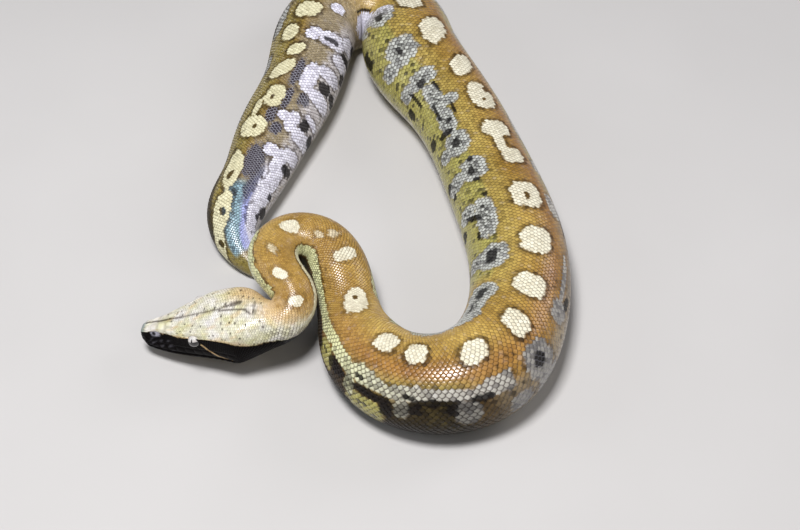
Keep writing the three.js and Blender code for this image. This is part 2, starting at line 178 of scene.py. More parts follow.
class Form:
    """The animal's outer surface: the route, its sections and the head's profile."""

    STEP = 0.25

    def __init__(self):
        stations = np.array(ROUTE, float)
        plan = np.linalg.norm(np.diff(stations[:, :2], axis=0), axis=1)
        knots = np.concatenate([[0], np.cumsum(plan)])
        along = np.linspace(0, knots[-1], ROUTE_SAMPLES + 1)
        x, y, lift, half, roll = (natural_spline(knots, column)(along) for column in stations.T)
        centre = np.column_stack([x, y, lift + SECTION_HEIGHT * half])
        steps = np.linalg.norm(np.diff(centre, axis=0), axis=1)
        run = np.concatenate([[0], np.cumsum(steps)])
        self.length = run[-1]
        self.grid = np.arange(0, self.length + self.STEP, self.STEP)
        self._run, self._centre = run, centre
        forward = self._heading(self.grid)
        side = np.column_stack([forward[:, 1], -forward[:, 0], np.zeros(len(forward))])
        side /= np.linalg.norm(side, axis=1)[:, None]
        turn = self._heading(self.grid + BEND_WINDOW) - self._heading(self.grid - BEND_WINDOW)
        bend = (turn * side).sum(1) / (2 * BEND_WINDOW)
        self._table = np.column_stack([
            self._middle(self.grid), forward, side, np.cross(side, forward),
            np.interp(self.grid, run, half), bend, np.interp(self.grid, run, roll),
        ])
        columns = np.array(HEAD_PROFILE, float).T
        self._profile = [natural_spline(columns[0], column) for column in columns[1:]]

    def _middle(self, at):
        return np.column_stack([np.interp(at, self._run, axis) for axis in self._centre.T])

    def _heading(self, at):
        way = self._middle(at + 0.5) - self._middle(at - 0.5)
        return way / np.maximum(np.linalg.norm(way, axis=1), 1e-9)[:, None]

    def frame(self, at):
        """Centre, forward, side, up, half width, bend and roll at places along the route."""
        place = np.clip(at, 0, self.length) / self.STEP
        low = np.minimum(place.astype(int), len(self.grid) - 2)
        part = (place - low)[:, None]
        rows = self._table[low] * (1 - part) + self._table[low + 1] * part
        return rows[:, 0:3], rows[:, 3:6], rows[:, 6:9], rows[:, 9:12], *rows[:, 12:].T

    def half(self, at):
        return self.frame(np.atleast_1d(np.asarray(at, float)))[4]

    def head_section(self, at, turn):
        """One side of the head's section, as distances across and above its axis."""
        at, around = np.clip(at, 0, HEAD_LENGTH), np.abs(turn)
        ridge, lip, crown, edge, mouth, chin = (channel(at) for channel in self._profile)
        opening = smoothstep(0, 3, MOUTH_END - at)
        brow = BROW_RISE * np.exp(-(((at - BROW_AT) / BROW_REACH) ** 2))
        dome = np.clip(around / RIDGE_TURN, 0, 1) * math.pi / 2
        on_brow = brow * np.exp(-(((dome - BROW_DOME) / BROW_DOME_REACH) ** 2))
        across = ridge * np.sin(dome) ** (2 / CROWN_POWER) + 0.6 * on_brow
        above = edge + (crown - edge) * np.cos(dome).clip(0) ** (2 / CROWN_POWER) + on_brow
        part = np.clip((around - RIDGE_TURN) / (LIP_TURN - RIDGE_TURN), 0, 1)
        on_side = around > RIDGE_TURN
        side = mix(ridge, lip, part) + CHEEK_BULGE * np.sin(math.pi * part)
        across = np.where(on_side, side, across)
        above = np.where(on_side, mix(edge, -mouth + MOUTH_HALF_OPENING, part), above)
        middle = (LIP_TURN + JAW_TURN) / 2
        inward = 1 - np.clip(np.abs(around - middle) / (middle - LIP_TURN), 0, 1)
        in_groove = around > LIP_TURN
        down = (around - middle) / (middle - LIP_TURN) * MOUTH_HALF_OPENING
        groove = lip - LIP_OVERHANG * smoothstep(LIP_TURN, JAW_TURN, around)
        across = np.where(in_groove, groove - MOUTH_DEPTH * opening * inward, across)
        above = np.where(in_groove, -mouth - down, above)
        under = np.clip((around - JAW_TURN) / (180 - JAW_TURN), 0, 1) * math.pi / 2
        on_jaw = around > JAW_TURN
        jaw = (lip - LIP_OVERHANG) * np.cos(under).clip(0) ** (2 / CHIN_POWER)
        depth = (chin - mouth - MOUTH_HALF_OPENING) * np.sin(under) ** (2 / CHIN_POWER)
        across = np.where(on_jaw, jaw, across)
        above = np.where(on_jaw, -mouth - MOUTH_HALF_OPENING - depth, above)
        return across * np.sign(turn), above

    def skin(self, at, turn):
        """Points of the outer surface, in millimetres, never below the floor."""
        at, turn = np.broadcast_arrays(np.asarray(at, float), np.asarray(turn, float))
        turn = (turn + 180) % 360 - 180
        centre, forward, side, up, half, bend, roll = self.frame(at)
        across, above = self.head_section(at, turn)
        on_head = np.arctan2(across / half, above / (SECTION_HEIGHT * half))
        twist = smoothstep(*TWIST_BLEND, at)
        round_neck = mix(on_head, np.radians(turn + roll), twist)
        neck = smoothstep(*NECK_BLEND, at)
        across = mix(across, half * np.sin(round_neck), neck)
        above = mix(above, SECTION_HEIGHT * half * np.cos(round_neck), neck)
        ahead, behind = np.minimum(at, 0), np.maximum(at - self.length, 0)
        closing = np.sqrt((1 - (ahead / SNOUT_BULGE) ** 2 - (behind / TAIL_POINT) ** 2).clip(0))
        middle = np.where(at < 0, -SNOUT_DROP, 0)
        across, above = across * closing * INSET, middle + (above * INSET - middle) * closing
        crowding = np.maximum(0, bend * across)
        across = across / (1 + SQUEEZE * crowding**4)
        points = centre + side * across[:, None] + up * above[:, None]
        points += forward * (ahead + behind)[:, None]
        return above_floor(points)

    def normal(self, at, turn):
        """Outward directions of the surface."""
        along = self.skin(at + NORMAL_REACH, turn) - self.skin(at - NORMAL_REACH, turn)
        around = self.skin(at, turn + NORMAL_TURN) - self.skin(at, turn - NORMAL_TURN)
        out = np.cross(around, along)
        length = np.linalg.norm(out, axis=1)[:, None]
        return out / np.maximum(length, 1e-9)

    def raised(self, at, turn, rise):
        return above_floor(self.skin(at, turn) + self.normal(at, turn) * rise[:, None])

    def girth_step(self, at, turn):
        """Millimetres round the surface for one degree of turn."""
        ends = self.skin(at, turn + 1) - self.skin(at, turn - 1)
        return np.linalg.norm(ends, axis=1) / 2

    def foot(self, at, across, above, turns):
        """The turn at which the surface comes nearest to a place in the head."""
        centre, _, side, up, *_ = self.frame(np.array([at], float))
        target = centre + side * across + up * above
        points = self.skin(np.full(len(turns), float(at)), turns)
        return turns[np.argmin(np.linalg.norm(points - target, axis=1))]


FORM = Form()
SIDE_TURNS = np.linspace(40, 100, 241)
EYE_TURN = FORM.foot(EYE_AT, EYE_SIDE, EYE_UP, SIDE_TURNS)
NOSTRIL_TURN = FORM.foot(NOSTRIL_AT, NOSTRIL_SIDE, NOSTRIL_UP, SIDE_TURNS)
TAIL_END = FORM.length

# ---------- scales ----------

ROW_TURN = 4.8                  # one row of scales round the belly's edge, in degrees
ROWS_NARROWED = 0.6             # and how much less on the middle of the back
LAST_ROW = 28.5
ROWS_TO_BELLY = 37              # rows to each side of the middle, at most
TAIL_ROWS = 838                 # from here back the rows are fewer and wider
TAIL_WIDER = 1.3
HEAD_SCALES_TO, TAIL_SCALES_FROM = 80, 800
PIECE_SCALES = 4200             # most scales in one piece
LATTICE_STEP = 0.25
UNEVEN_PLACE, UNEVEN_SIZE, UNEVEN_SPIN = 0.04, 0.05, 3
# Half length of a scale, how deep its front edge lies under its neighbours and its back edge under
# the surface, its dome and its thickness, all for each millimetre from scale to scale.
SCALE_LENGTH, SCALE_FRONT, SCALE_BACK, SCALE_DOME, SCALE_THICK = 0.76, 0.05, 0.035, 0.055, 0.09
SCALE_WIDTH = 0.95
COAT_DEPTH = 0.17               # how deep the skin lies under the coat, for the same millimetre
HEAD_RELIEF = 0.45


def scale_pitch(at):
    """Distance between scales along the animal, on the head by place and behind it by girth."""
    half = FORM.half(at)
    on_tail = np.interp(half, [1.5, 12, 18], [0.7, 1.6, 1.85])
    on_body = np.interp(half, [1.5, 13, 18, 23, 29], [0.6, 1.19, 1.8, 2.3, 2.38])
    on_head = np.interp(at, [0, 30, 60, HEAD_SCALES_TO], [1.2, 1.35, 1.3, 1.19])
    return np.where(at < HEAD_SCALES_TO, on_head, np.where(at > TAIL_SCALES_FROM, on_tail, on_body))


def row_turn(row, at):
    """The turn of a row of scales, and the turn from there to the next row."""
    narrowed = ROWS_NARROWED * smoothstep(150, 260, at)
    share = (row / LAST_ROW) ** 2
    return row * (ROW_TURN - narrowed * (1 - share)), ROW_TURN - narrowed * (1 - 3 * share)


def relief(at):
    """How far the scales stand up, less on the head than on the body."""
    return mix(HEAD_RELIEF, 1, smoothstep(45, 85, at))


def coat_depth(at):
    return COAT_DEPTH * scale_pitch(at) * relief(at)


# ---------- markings ----------

# Cream blotches on the back: place, turn, half length, half width in degrees, and the slant in
# millimetres for each degree.
BLOTCHES = [
    (92.5, 11, 2.5, 16), (109.3, -8, 4.3, 13), (146.5, 1, 6, 19), (183.2, 0, 3.1, 24),
    (217, 1, 13.4, 21, 0.05), (263.3, -4, 6.8, 15), (282.8, -1, 6, 14), (312, 4, 7, 14, -0.16),
    (340, 5, 6.5, 17, -0.12), (367.5, 2, 8, 19, -0.06), (400, 1, 9.3, 19), (433.6, 0, 10, 19),
    (467, 6, 6.5, 15), (480, -3, 14, 6.5, 0.1), (491.3, 0, 7.4, 19), (521.8, 3, 12, 18, 0.04),
    (549.6, 3, 7.4, 19, 0.2), (583.6, 3, 10.4, 20, 0.32), (613.1, -9, 7.6, 16),
    (642.6, 0, 9, 17, 0.1), (668.6, -2, 8, 16, -0.1), (699, 1, 6.6, 18), (718.1, 14, 6.8, 13),
    (733.9, -6, 5, 12.5, 0.1), (752.8, 3, 8, 18, 0.27), (777.6, -6, 9.3, 15),
    (787.6, 14, 7, 6, 0.2), (802.2, 8, 7.8, 23), (835.6, 8, 13, 20, -0.3), (862.1, 3, 9, 22, 0.2),
]
# Dark spots inside the blotches and notches in them.
BLOTCH_SPOTS = [
    (213, 2, 2.3, 5), (432.5, 0, 3, 3.4), (479, 13, 5.5, 6), (518, 3, 1.4, 3), (527.5, 16, 2.3, 6),
    (779.1, -3, 1.6, 3), (802.1, 4, 1.7, 4), (841.1, 6, 3.4, 5.5), (851.1, 16, 2.2, 12),
    (862.9, 1, 2, 7), (877.3, 37, 2, 9),
]
# Fainter pale smudges on the neck.
SMUDGES = [(124, 7, 2.4, 10, -0.25), (166, 13, 3, 6), (171.5, -6, 2, 11)]
TAIL_STRIPE = [(865, 14), (870, 22), (875, 36), (878.5, 55), (881, 80), (885, 105)]
TAIL_STRIPE_HALF = 4

# The pale stripe along each flank: place, middle turn, half width in degrees. The left one ends
# behind the front bend, where patches take over.
LEFT_STRIPE = [
    (60, 50, 8), (74, 48, 14), (78, 48, 14), (82, 57, 17), (85, 66, 15), (88, 74, 13), (92, 77, 11),
    (96, 68, 9), (100, 58, 8), (105, 56, 7), (112, 72, 8), (120, 80, 10), (130, 81, 10),
    (138, 72, 11), (145, 66, 13), (152, 63, 14), (162, 61, 14), (172, 60, 15), (182, 67, 12),
    (192, 73, 11), (200, 74, 11), (208, 71, 9), (216, 66, 9), (224, 60, 9), (232, 54, 9),
    (240, 48, 8), (250, 50, 9), (256, 50.5, 8.5), (261, 47, 13), (268, 48, 9), (274, 51.5, 7),
    (281, 49, 11), (290, 46, 7), (300, 48, 7), (306, 50, 6), (311, 48, 10), (316, 47, 11),
]
RIGHT_STRIPE = [
    (82, -80, 14), (92, -84, 20), (98, -86, 18), (104, -80, 20), (110, -77, 26), (118, -75, 27),
    (126, -74, 28), (132, -72, 29), (137, -76, 24), (142, -80, 16), (152, -84, 12), (168, -84, 12),
    (180, -80, 12), (195, -70, 16), (200, -66, 22), (208, -68, 20), (214, -78, 12), (228, -80, 12),
    (236, -66, 16), (244, -58, 18), (252, -66, 14), (262, -66, 12), (270, -56, 17), (278, -51, 16),
    (286, -51, 15), (295, -54, 14), (305, -60, 14), (315, -63, 15), (325, -57, 15), (335, -52, 15),
]
# Grey-white patches on the flanks: place, turn, half length, half width, slant.
RIGHT_PATCHES = [
    (347, -56, 14, 17, 0.1), (361, -54, 8.5, 22), (390.5, -50, 10, 20), (392, -78, 6, 16),
    (424, -55, 16.5, 14), (436, -82, 5.5, 18), (463, -82, 5.5, 20), (464, -49, 9.2, 18),
    (487, -80, 5, 12), (489.5, -56, 9.6, 18), (510, -57, 12, 13), (526, -42, 4.4, 14),
    (533, -57, 15, 12), (553, -86, 5, 14), (553, -57, 6.2, 23), (572, -80, 4.4, 16),
    (577, -50, 8.6, 22, 0.06), (607.6, -51, 9.8, 19), (640, -84, 38, 25), (688, -36, 5.5, 11),
    (713, -88, 6, 20), (718.8, -22, 5, 11), (719, -54, 6.2, 24), (730, -86, 5, 22),
    (744.5, -74, 4.6, 26), (755, -43, 12.2, 13), (764.5, -76, 5, 28), (781, -84, 2.6, 20),
    (789.5, -34, 3.4, 12), (790.5, -49, 7.6, 11), (796, -84, 5.4, 28), (811, -84, 4.4, 22),
    (815, -40, 4.2, 14), (819, -62, 9, 13), (833, -74, 13, 17), (846, -76, 8, 20),
    (865, -70, 11, 17),
]
LEFT_PATCHES = [
    (258.5, 71, 2.8, 14), (280.7, 70, 2.9, 14), (303, 72, 4.6, 17), (322, 84, 5, 14),
    (334.5, 54, 7.4, 23), (337, 90, 7, 16), (361, 47, 6.4, 13), (381, 44, 16, 4, -0.68),
    (404, 80, 5, 16), (430, 40, 9, 12), (448, 82, 5, 16), (463, 44, 6, 9), (486, 84, 6, 16),
    (500, 50, 11, 14), (526, 84, 5, 16), (541, 52, 12, 14), (564, 84, 6, 16), (581, 52, 11, 14),
    (607.6, 84, 6, 16), (625.6, 50, 13, 14), (647.6, 84, 6, 16), (665.6, 48, 12, 14),
    (687.6, 84, 6, 16), (703.6, 48, 12, 13), (725.6, 84, 6, 16), (742.6, 50, 11, 13),
    (785.6, 60, 12, 12), (828.6, 62, 12, 12),
]
# Olive patches in the dark flank under the left stripe.
OLIVE_POCKETS = [(168, 98, 10, 14), (240, 75, 7.5, 17), (266, 89, 8.5, 18), (266, 108, 7, 12)]
# Bands of dark scales with pale seams on the rear left flank.
DARK_BANDS = [
    (754, -23, 11, 7, 0.1), (772, -50, 5, 9), (777, -26, 8, 6), (792, -14, 6, 8), (800, -30, 4, 9),
    (827, -22, 12, 18, -0.1), (842, -42, 14, 9),
]
# Black cores, bars and flecks.
BLACK_MARKS = [
    (225, 82, 10, 12), (249, 68, 6, 9), (262, 51, 2.4, 3), (269, 65, 8.5, 5.5), (275, 76, 2.6, 11),
    (283, 53, 2.2, 3), (285.5, 66, 2.4, 9), (292, 56.5, 8, 4.6), (298, 66, 2, 8), (308, 56, 4, 4.6),
    (334, 52, 3, 9), (369, 57, 4.4, 5.5), (421, 52, 9, 3), (466, 56, 6, 4), (505, 56, 6, 4),
    (545, 60, 8, 4), (585, 58, 6, 4), (629.6, 58, 8, 4), (669.6, 56, 7, 4), (707.6, 56, 7, 4),
    (746.6, 58, 6, 4), (789.6, 62, 7, 4), (832.6, 64, 7, 4), (345, -58, 6, 2.4, -0.3),
    (360, -53, 4.6, 7), (390, -104, 5, 8), (391.5, -51, 5.6, 7.5), (413, -69, 3.4, 3),
    (425, -100, 4.4, 8), (429, -72, 2.6, 12, -0.3), (433, -55, 1.6, 3), (441, -48, 1.6, 4),
    (455, -50, 1.5, 4.5), (457, -92, 1.8, 6), (463, -52, 3.2, 4.6, 0.3), (467, -98, 2.4, 9),
    (472, -48, 1.5, 4), (490, -57, 3.6, 6), (502, -66, 2.6, 12), (505, -96, 4, 9),
    (510, -54, 1.8, 5), (518, -41, 5, 2.4), (521, -64, 9, 3, -0.4), (540, -46, 6, 2.2),
    (541, -104, 5, 8), (543, -80, 8, 3, -0.5), (550, -60, 3, 6.5), (577.5, -52, 2.7, 3.6),
    (590, -100, 5, 10), (604.6, -54, 3.3, 5.5), (641.6, -112, 12, 5), (653.6, -56, 17, 2.6),
    (708.6, -104, 4.4, 10), (719.8, -52, 1.9, 13), (723.6, -94, 2.6, 18), (736.6, -104, 4.4, 9),
    (754.6, -104, 3.4, 16), (754.8, -74, 4, 13), (787, -72, 4.2, 10), (790, -106, 4.4, 14),
    (820, -90, 3, 18), (841.6, -92, 2.4, 7), (856, -103, 5.5, 15), (862.5, -86, 3, 7),
]
# The head's crown ends at this turn, by place.
CROWN_EDGE = (
    (0, 4, 8, 11, 14, 22, 25, 32, 36, 44, 54, 60, 67, 74, 79, 82, 86, 92),
    (50, 60, 56, 56, 65, 66, 68, 63, 60, 60, 58, 63, 66, 63, 62, 74, 98, 118),
)
# Dark lines on the crown, each with its half width and its points.
CROWN_LINES = [
    (0.34, [(3, -10), (13, -1.5), (27, 0), (49, 0), (57, -4)]),
    (0.75, [(56, -4), (60, -6)]),
    (0.34, [(50, 1.5), (58, 1.5), (63, 1.5), (67.5, 6.5)]),
]
ARROW_MARKS = [(68.7, -4.5, 1.4, 5), (69.7, 4, 1.4, 5)]
TAN_MARKS = [(63, 58, 6, 9)]
# On both sides of the head: the pale line behind the eye, the pale nasal and the dark nostril.
CHEEK_LINE = [(38.7, 78), (41.7, 92), (46, 103), (54, 111)]
NASAL_MARKS = [(10.4, 66, 3, 9)]
NOSTRIL_MARKS = [(NOSTRIL_AT, NOSTRIL_TURN, 1.2, 6)]

BLOTCH_RIM, TAIL_RIM, SMUDGE_RIM, STRIPE_RIM, PATCH_RIM = 2.1, 1.2, 1.4, 1.2, 1.3
MARK_POWER = 2.6                # how square the marks are, 2 for an ellipse
TAIL_CLIMB = 868                # from here back the tail's colours climb round it
MASKS = ("crown", "nape", "side", "cream", "pale", "warm", "edge", "black", "olive", "belly",
         "blue", "lilac", "mauve", "straw", "slate", "rust")


def most(*shares):
    return functools.reduce(np.maximum, shares)


def sharp(value, soft=0.04):
    return smoothstep(-soft, soft, value)


def stretches(at):
    """Two shares by place: one that fades in along a stretch, and one that fades out along it."""

    def after(low, high):
        return smoothstep(low, high, at)

    return after, lambda low, high: 1 - after(low, high)


def below(stripe, at):
    """The turn at which a flank's stripe ends towards the belly."""
    places, middles, halves = np.array(stripe, float).T
    return np.interp(at, places, np.abs(middles) + halves)


class Spots:
    """Places on the animal. Its marks, stripes, paths and dots are each given as a number that is
    over 0 inside and 1 in the middle."""

    def __init__(self, at, turn):
        self.at, self.turn = at, turn
        self.half = FORM.half(at)

    def wobble(self, size, seed):
        """Smooth seeded unevenness from about -1 to 1, with swells of about this size."""
        draw = np.random.default_rng(seed)
        around = self.turn * 0.4
        total = np.zeros(np.shape(self.at))
        for octave in range(4):
            pace = 2 * math.pi / (size * (0.7 + 0.3 * octave))
            heading, phase = draw.uniform(0, 2 * math.pi, 2)
            swell = self.at * math.cos(heading) + around * math.sin(heading)
            total = total + np.sin(pace * swell + phase)
        return total / 2.6

    def marks(self, rows, edge=0.0):
        """The nearest of the marks, each widened by the edge, in millimetres."""
        best = np.full(np.shape(self.at), -9.0)
        for place, middle, long, wide, *slant in rows:
            lean = slant[0] if slant else 0
            step = FORM.half(place)[0] * math.radians(1)
            reach = 2 * (long + edge) + abs(lean) * 2 * wide
            beside = np.abs(self.turn - middle) < 2.2 * wide + 4
            near = np.flatnonzero((np.abs(self.at - place) < reach) & beside)
            off = self.turn[near] - middle
            run = np.abs((self.at[near] - place - lean * off) / (long + edge)) ** MARK_POWER
            rise = np.abs(off / (wide + edge / step)) ** MARK_POWER
            best[near] = np.maximum(best[near], 1 - (run + rise) ** (1 / MARK_POWER))
        return best

    def stripe(self, knots, edge=0.0):
        """A stripe that runs through the knots."""
        places, middles, halves = np.array(knots, float).T
        wide = np.interp(self.at, places, halves) + edge / np.radians(np.maximum(self.half, 2))
        inside = 1 - np.abs(self.turn - np.interp(self.at, places, middles)) / wide
        run = np.minimum(self.at - places[0], places[-1] - self.at) / 5 + 1
        return np.minimum(inside, run)

    def path(self, points, half):
        """A line through the points, this many millimetres wide to each side."""
        places = np.array(points, float)
        step = np.radians(np.maximum(self.half, 3))
        nearest = np.full(np.shape(self.at), 1e9)
        for (at_a, turn_a), (at_b, turn_b) in zip(places[:-1], places[1:]):
            run, rise = at_b - at_a, (turn_b - turn_a) * step
            x, y = self.at - at_a, (self.turn - turn_a) * step
            part = np.clip((x * run + y * rise) / (run * run + rise * rise), 0, 1)
            nearest = np.minimum(nearest, np.hypot(x - part * run, y - part * rise))
        return 1 - nearest / half

    def dots(self, cell, radius, share, seed):
        """Scattered round dots, at most one in each cell of this size."""
        x, y = self.at, self.turn * 0.27
        column, line = np.floor(x / cell), np.floor(y / cell)

        def chance(salt):
            value = np.sin(column * 127.1 + line * 311.7 + seed * 74.7 + salt * 53.3) * 43758.5
            return value - np.floor(value)

        inner = radius / cell
        middle_x = (column + inner + chance(1) * (1 - 2 * inner)) * cell
        middle_y = (line + inner + chance(2) * (1 - 2 * inner)) * cell
        near = 1 - np.hypot(x - middle_x, y - middle_y) / radius
        return np.where(chance(3) < share, near, -1)


def head_markings(spots, mirrored):
    """The pale crown with its lines and dots, the tan nape and the near-black side."""
    at, turn, around = spots.at, spots.turn, mirrored.turn
    after, before = stretches(at)
    limit = np.interp(at, *CROWN_EDGE)
    side = sharp(around + 1.4 * spots.wobble(3.2, 51) - limit, 1.2) * before(88, 96)
    end = 80 + 0.1 * np.minimum(around, 60) + 2.5 * spots.wobble(6, 52)
    crown = (1 - side) * (1 - smoothstep(end - 2, end + 12, at))
    later = 0.4 * (turn - 8).clip(0) + 2 * spots.wobble(3, 60)
    tint = most(
        0.85 * smoothstep(-10, 8, at - 75 - later),
        0.85 * after(46, 62) * smoothstep(4, -24, turn + 2 * spots.wobble(5, 61)),
        0.75 * smoothstep(52, 64, around) * after(20, 26) * before(32, 38),
        0.6 * spots.marks(TAN_MARKS).clip(0, 1),
        0.6 * smoothstep(-9, -3, around - limit) * after(40, 48) * before(64, 72),
        0.4 * smoothstep(0.2, 1.2, spots.wobble(7, 54)),
    )
    lines = most(*(spots.path(points, half) for half, points in CROWN_LINES))
    arrow = spots.marks(ARROW_MARKS) + 0.3 * spots.wobble(2, 55)
    specks = sharp(spots.dots(3.6, 0.52, 0.42, 1), 0.25) * (at > 12) * (at < 76)
    small = sharp(spots.dots(1.9, 0.3, 0.3, 2), 0.3) * (at > 5) * (at < 76)
    smoky = smoothstep(0.5, 1.4, spots.wobble(5, 56))
    seam = sharp(mirrored.path(CHEEK_LINE, 0.5) + 0.2, 0.4) * (at < 58)
    snout = 1 - smoothstep(1.6, 4.2, at + 0.9 * spots.wobble(2.5, 57))
    nasal = sharp(mirrored.marks(NASAL_MARKS) + 0.15 * spots.wobble(2, 58), 0.3)
    nostril = sharp(mirrored.marks(NOSTRIL_MARKS), 0.2)
    # Painted glints: a faint lilac sheen on the front lips.
    glints = smoothstep(0, 1.2, spots.wobble(4, 59)) * before(18, 26)
    glints = glints * smoothstep(76, 84, around) * (1 - smoothstep(108, 118, around))
    on_top = (1 - side) * (around < 66)
    lines = most(0.95 * sharp(lines + 0.25, 0.3), 0.6 * sharp(arrow, 0.3), 0.5 * small)
    return {
        "crown": most(crown * (1 - 0.85 * nasal * (around > 60)), 0.8 * seam * side),
        "nape": most(tint, seam),
        "side": side * (1 - seam) * (1 - 0.5 * smoothstep(146, 165, around)),
        "lines": lines * on_top,
        "dots": most(specks * on_top, nostril, 0.5 * snout),
        "lilac": most(0.07 * glints, 0.5 * nasal, 0.0875 * smoky * (1 - side)),
        "snout": snout,
    }


def markings(at, turn):
    """Shares of each colour at places on the animal, from 0 to 1."""
    turn = (turn + 180) % 360 - 180
    around = np.abs(turn)
    spots, mirrored = Spots(at, turn), Spots(at, around)
    head = head_markings(spots, mirrored)
    after, before = stretches(at)
    on_body = sharp(at - BODY_FROM, 6)
    ragged = 0.07 * spots.wobble(5, 11) + 0.05 * spots.wobble(2.6, 12)

    def marked(rows, rough=1.0, soft=0.04, edge=0.0):
        return sharp(spots.marks(rows, edge) + rough * ragged, soft)

    # The blotches along the back, with their rims and the spots inside them.
    cream, rim = (
        most(spots.marks(BLOTCHES, wider), spots.path(TAIL_STRIPE, half)) + ragged
        for wider, half in ((0, TAIL_STRIPE_HALF), (BLOTCH_RIM, TAIL_STRIPE_HALF + TAIL_RIM))
    )
    spotted = marked(BLOTCH_SPOTS)
    blotch = sharp(cream) * (1 - spotted)
    outline = sharp(rim, 0.14) * (1 - sharp(cream)) * (0.4 + 0.6 * after(190, 300))
    outline = outline * (0.65 + 0.35 * smoothstep(-0.6, 0.6, spots.wobble(4, 13)))
    smudge = 0.55 * marked(SMUDGES, 4, 0.3)
    smudge_rim = marked(SMUDGES, 4, 0.3, SMUDGE_RIM) * (0.55 - smudge)

    # The stripes and patches of the flanks.
    stripes, stripe_rim = (
        most(spots.stripe(LEFT_STRIPE, wider), spots.stripe(RIGHT_STRIPE, wider))
        for wider in (0, STRIPE_RIM)
    )
    patches, patch_rim = (
        spots.marks(RIGHT_PATCHES + LEFT_PATCHES, wider) for wider in (0, PATCH_RIM)
    )
    striped = sharp(stripes + 1.8 * ragged)
    pale = most(striped, sharp(patches + 1.2 * ragged))
    rims = sharp(most(stripe_rim, patch_rim) + 1.8 * ragged, 0.1)
    firm = most(after(96, 104) - after(190, 230), after(680, 700))
    rims = mix(0.5 * after(90, 100), 0.85, firm) * (1 - pale) * rims * on_body

    # The dark flank below the stripes, with the cores and flecks above it. Behind the front bend
    # the dark flank is partly its own colour and partly painted shade, darker towards the belly. On
    # the tail's left side the darkening is painted shade.
    under_left = sharp(turn - below(LEFT_STRIPE, at) - 2, 5) * after(80, 84)
    under_right = sharp(-turn - below(RIGHT_STRIPE, at) - 2, 5) * after(80, 84) * before(240, 270)
    pocket = marked(OLIVE_POCKETS, 1, 0.1)
    # The dark lower flank behind the front bend: partly its own dark colour, partly painted shade.
    umber = under_left * after(222, 240) * before(300, 330) * (1 - pocket)
    core = smoothstep(0.3, 0.6, spots.marks(RIGHT_PATCHES)) * (at < 640)
    flecks = sharp(spots.wobble(3.4, 21) + spots.wobble(2.2, 22) - 1.35, 0.1)
    specks = sharp(spots.dots(5, 0.9, 0.45, 3), 0.2) * after(304, 312) * before(372, 390)
    tail_shade = smoothstep(30, 44, turn) * after(826, 850) * (at < 880)
    black = most(
        marked(BLACK_MARKS, 1.8), under_left * before(222, 240), under_right,
        # painted shade: the flank behind the front bend darker towards the belly
        umber * (0.62 + 0.3 * smoothstep(80, 110, turn)),
        0.85 * core * sharp(spots.wobble(2.2, 23) - 0.15, 0.25),
        0.6 * flecks * smoothstep(34, 50, around) * on_body,
        0.7 * specks * smoothstep(14, 22, turn) * (1 - pale), 0.5 * tail_shade * (1 - blotch),
    )
    tanned = 1 - 0.8 * after(296, 312) * before(400, 470)
    olive = most(
        smoothstep(-36, -50, turn) * after(362, 384) * before(590, 650),
        0.35 * smoothstep(-4, -34, turn) * after(330, 390) * before(590, 650),
        0.7 * smoothstep(24, 44, turn) * after(225, 300) * tanned,
        0.8 * smoothstep(-14, 22, turn) * after(640, 720), pocket,
    )
    belly = smoothstep(116, 132, around + 5 * spots.wobble(8, 31)) * on_body

    # The rear left flank turns from brown to mauve, and the tail's base to blue. The lavender on
    # the rear left flank and beside the tail's blue is painted glare.
    mauve = most(
        smoothstep(2, -26, turn + 6 * spots.wobble(12, 43)) * after(630, 700),
        0.8 * smoothstep(44, 58, turn) * after(304, 316) * before(440, 480),
    )
    bands = sharp(spots.marks(DARK_BANDS) + 0.1 + 2 * ragged, 0.25) * (1 - sharp(patches))
    outer = marked(LEFT_PATCHES, 1, 0.2) * (at > 318) * (at < 385)
    climb = (at - TAIL_CLIMB).clip(0)
    climbing = turn - 1.5 * climb
    teal = after(840, 848) * smoothstep(8, -6, turn - 1.6 * climb) * smoothstep(-58, -50, climbing)
    # Painted glare: a violet sheen beside the blue of the tail's base.
    violet = smoothstep(-35, -46, climbing) * after(816, 834)
    violet = violet * (1 - 0.75 * smoothstep(-84, -94, turn))
    # Painted glare: a pale lilac sheen over the rear left flank, dimmer towards the belly.
    lilac = 0.45 * smoothstep(-48, -66, turn + 6 * spots.wobble(6, 41)) * after(684, 716)
    dim = smoothstep(-0.1, 0.7, spots.wobble(6, 42)) * smoothstep(-88, -100, turn)
    lilac = most(
        lilac * (1 - 0.6 * dim), violet, pale * after(600, 620) * smoothstep(10, -10, turn)
    )
    blue = most(teal, 0.8 * violet * smoothstep(-54, -45, turn) * after(828, 844))
    lower = smoothstep(24, 34, turn - 1.5 * (at - TAIL_CLIMB + 4).clip(0)) * after(822, 846)
    lower = lower * (1 - smoothstep(110, 130, around))
    before_tip = (1 - blotch) * before(885, 889)
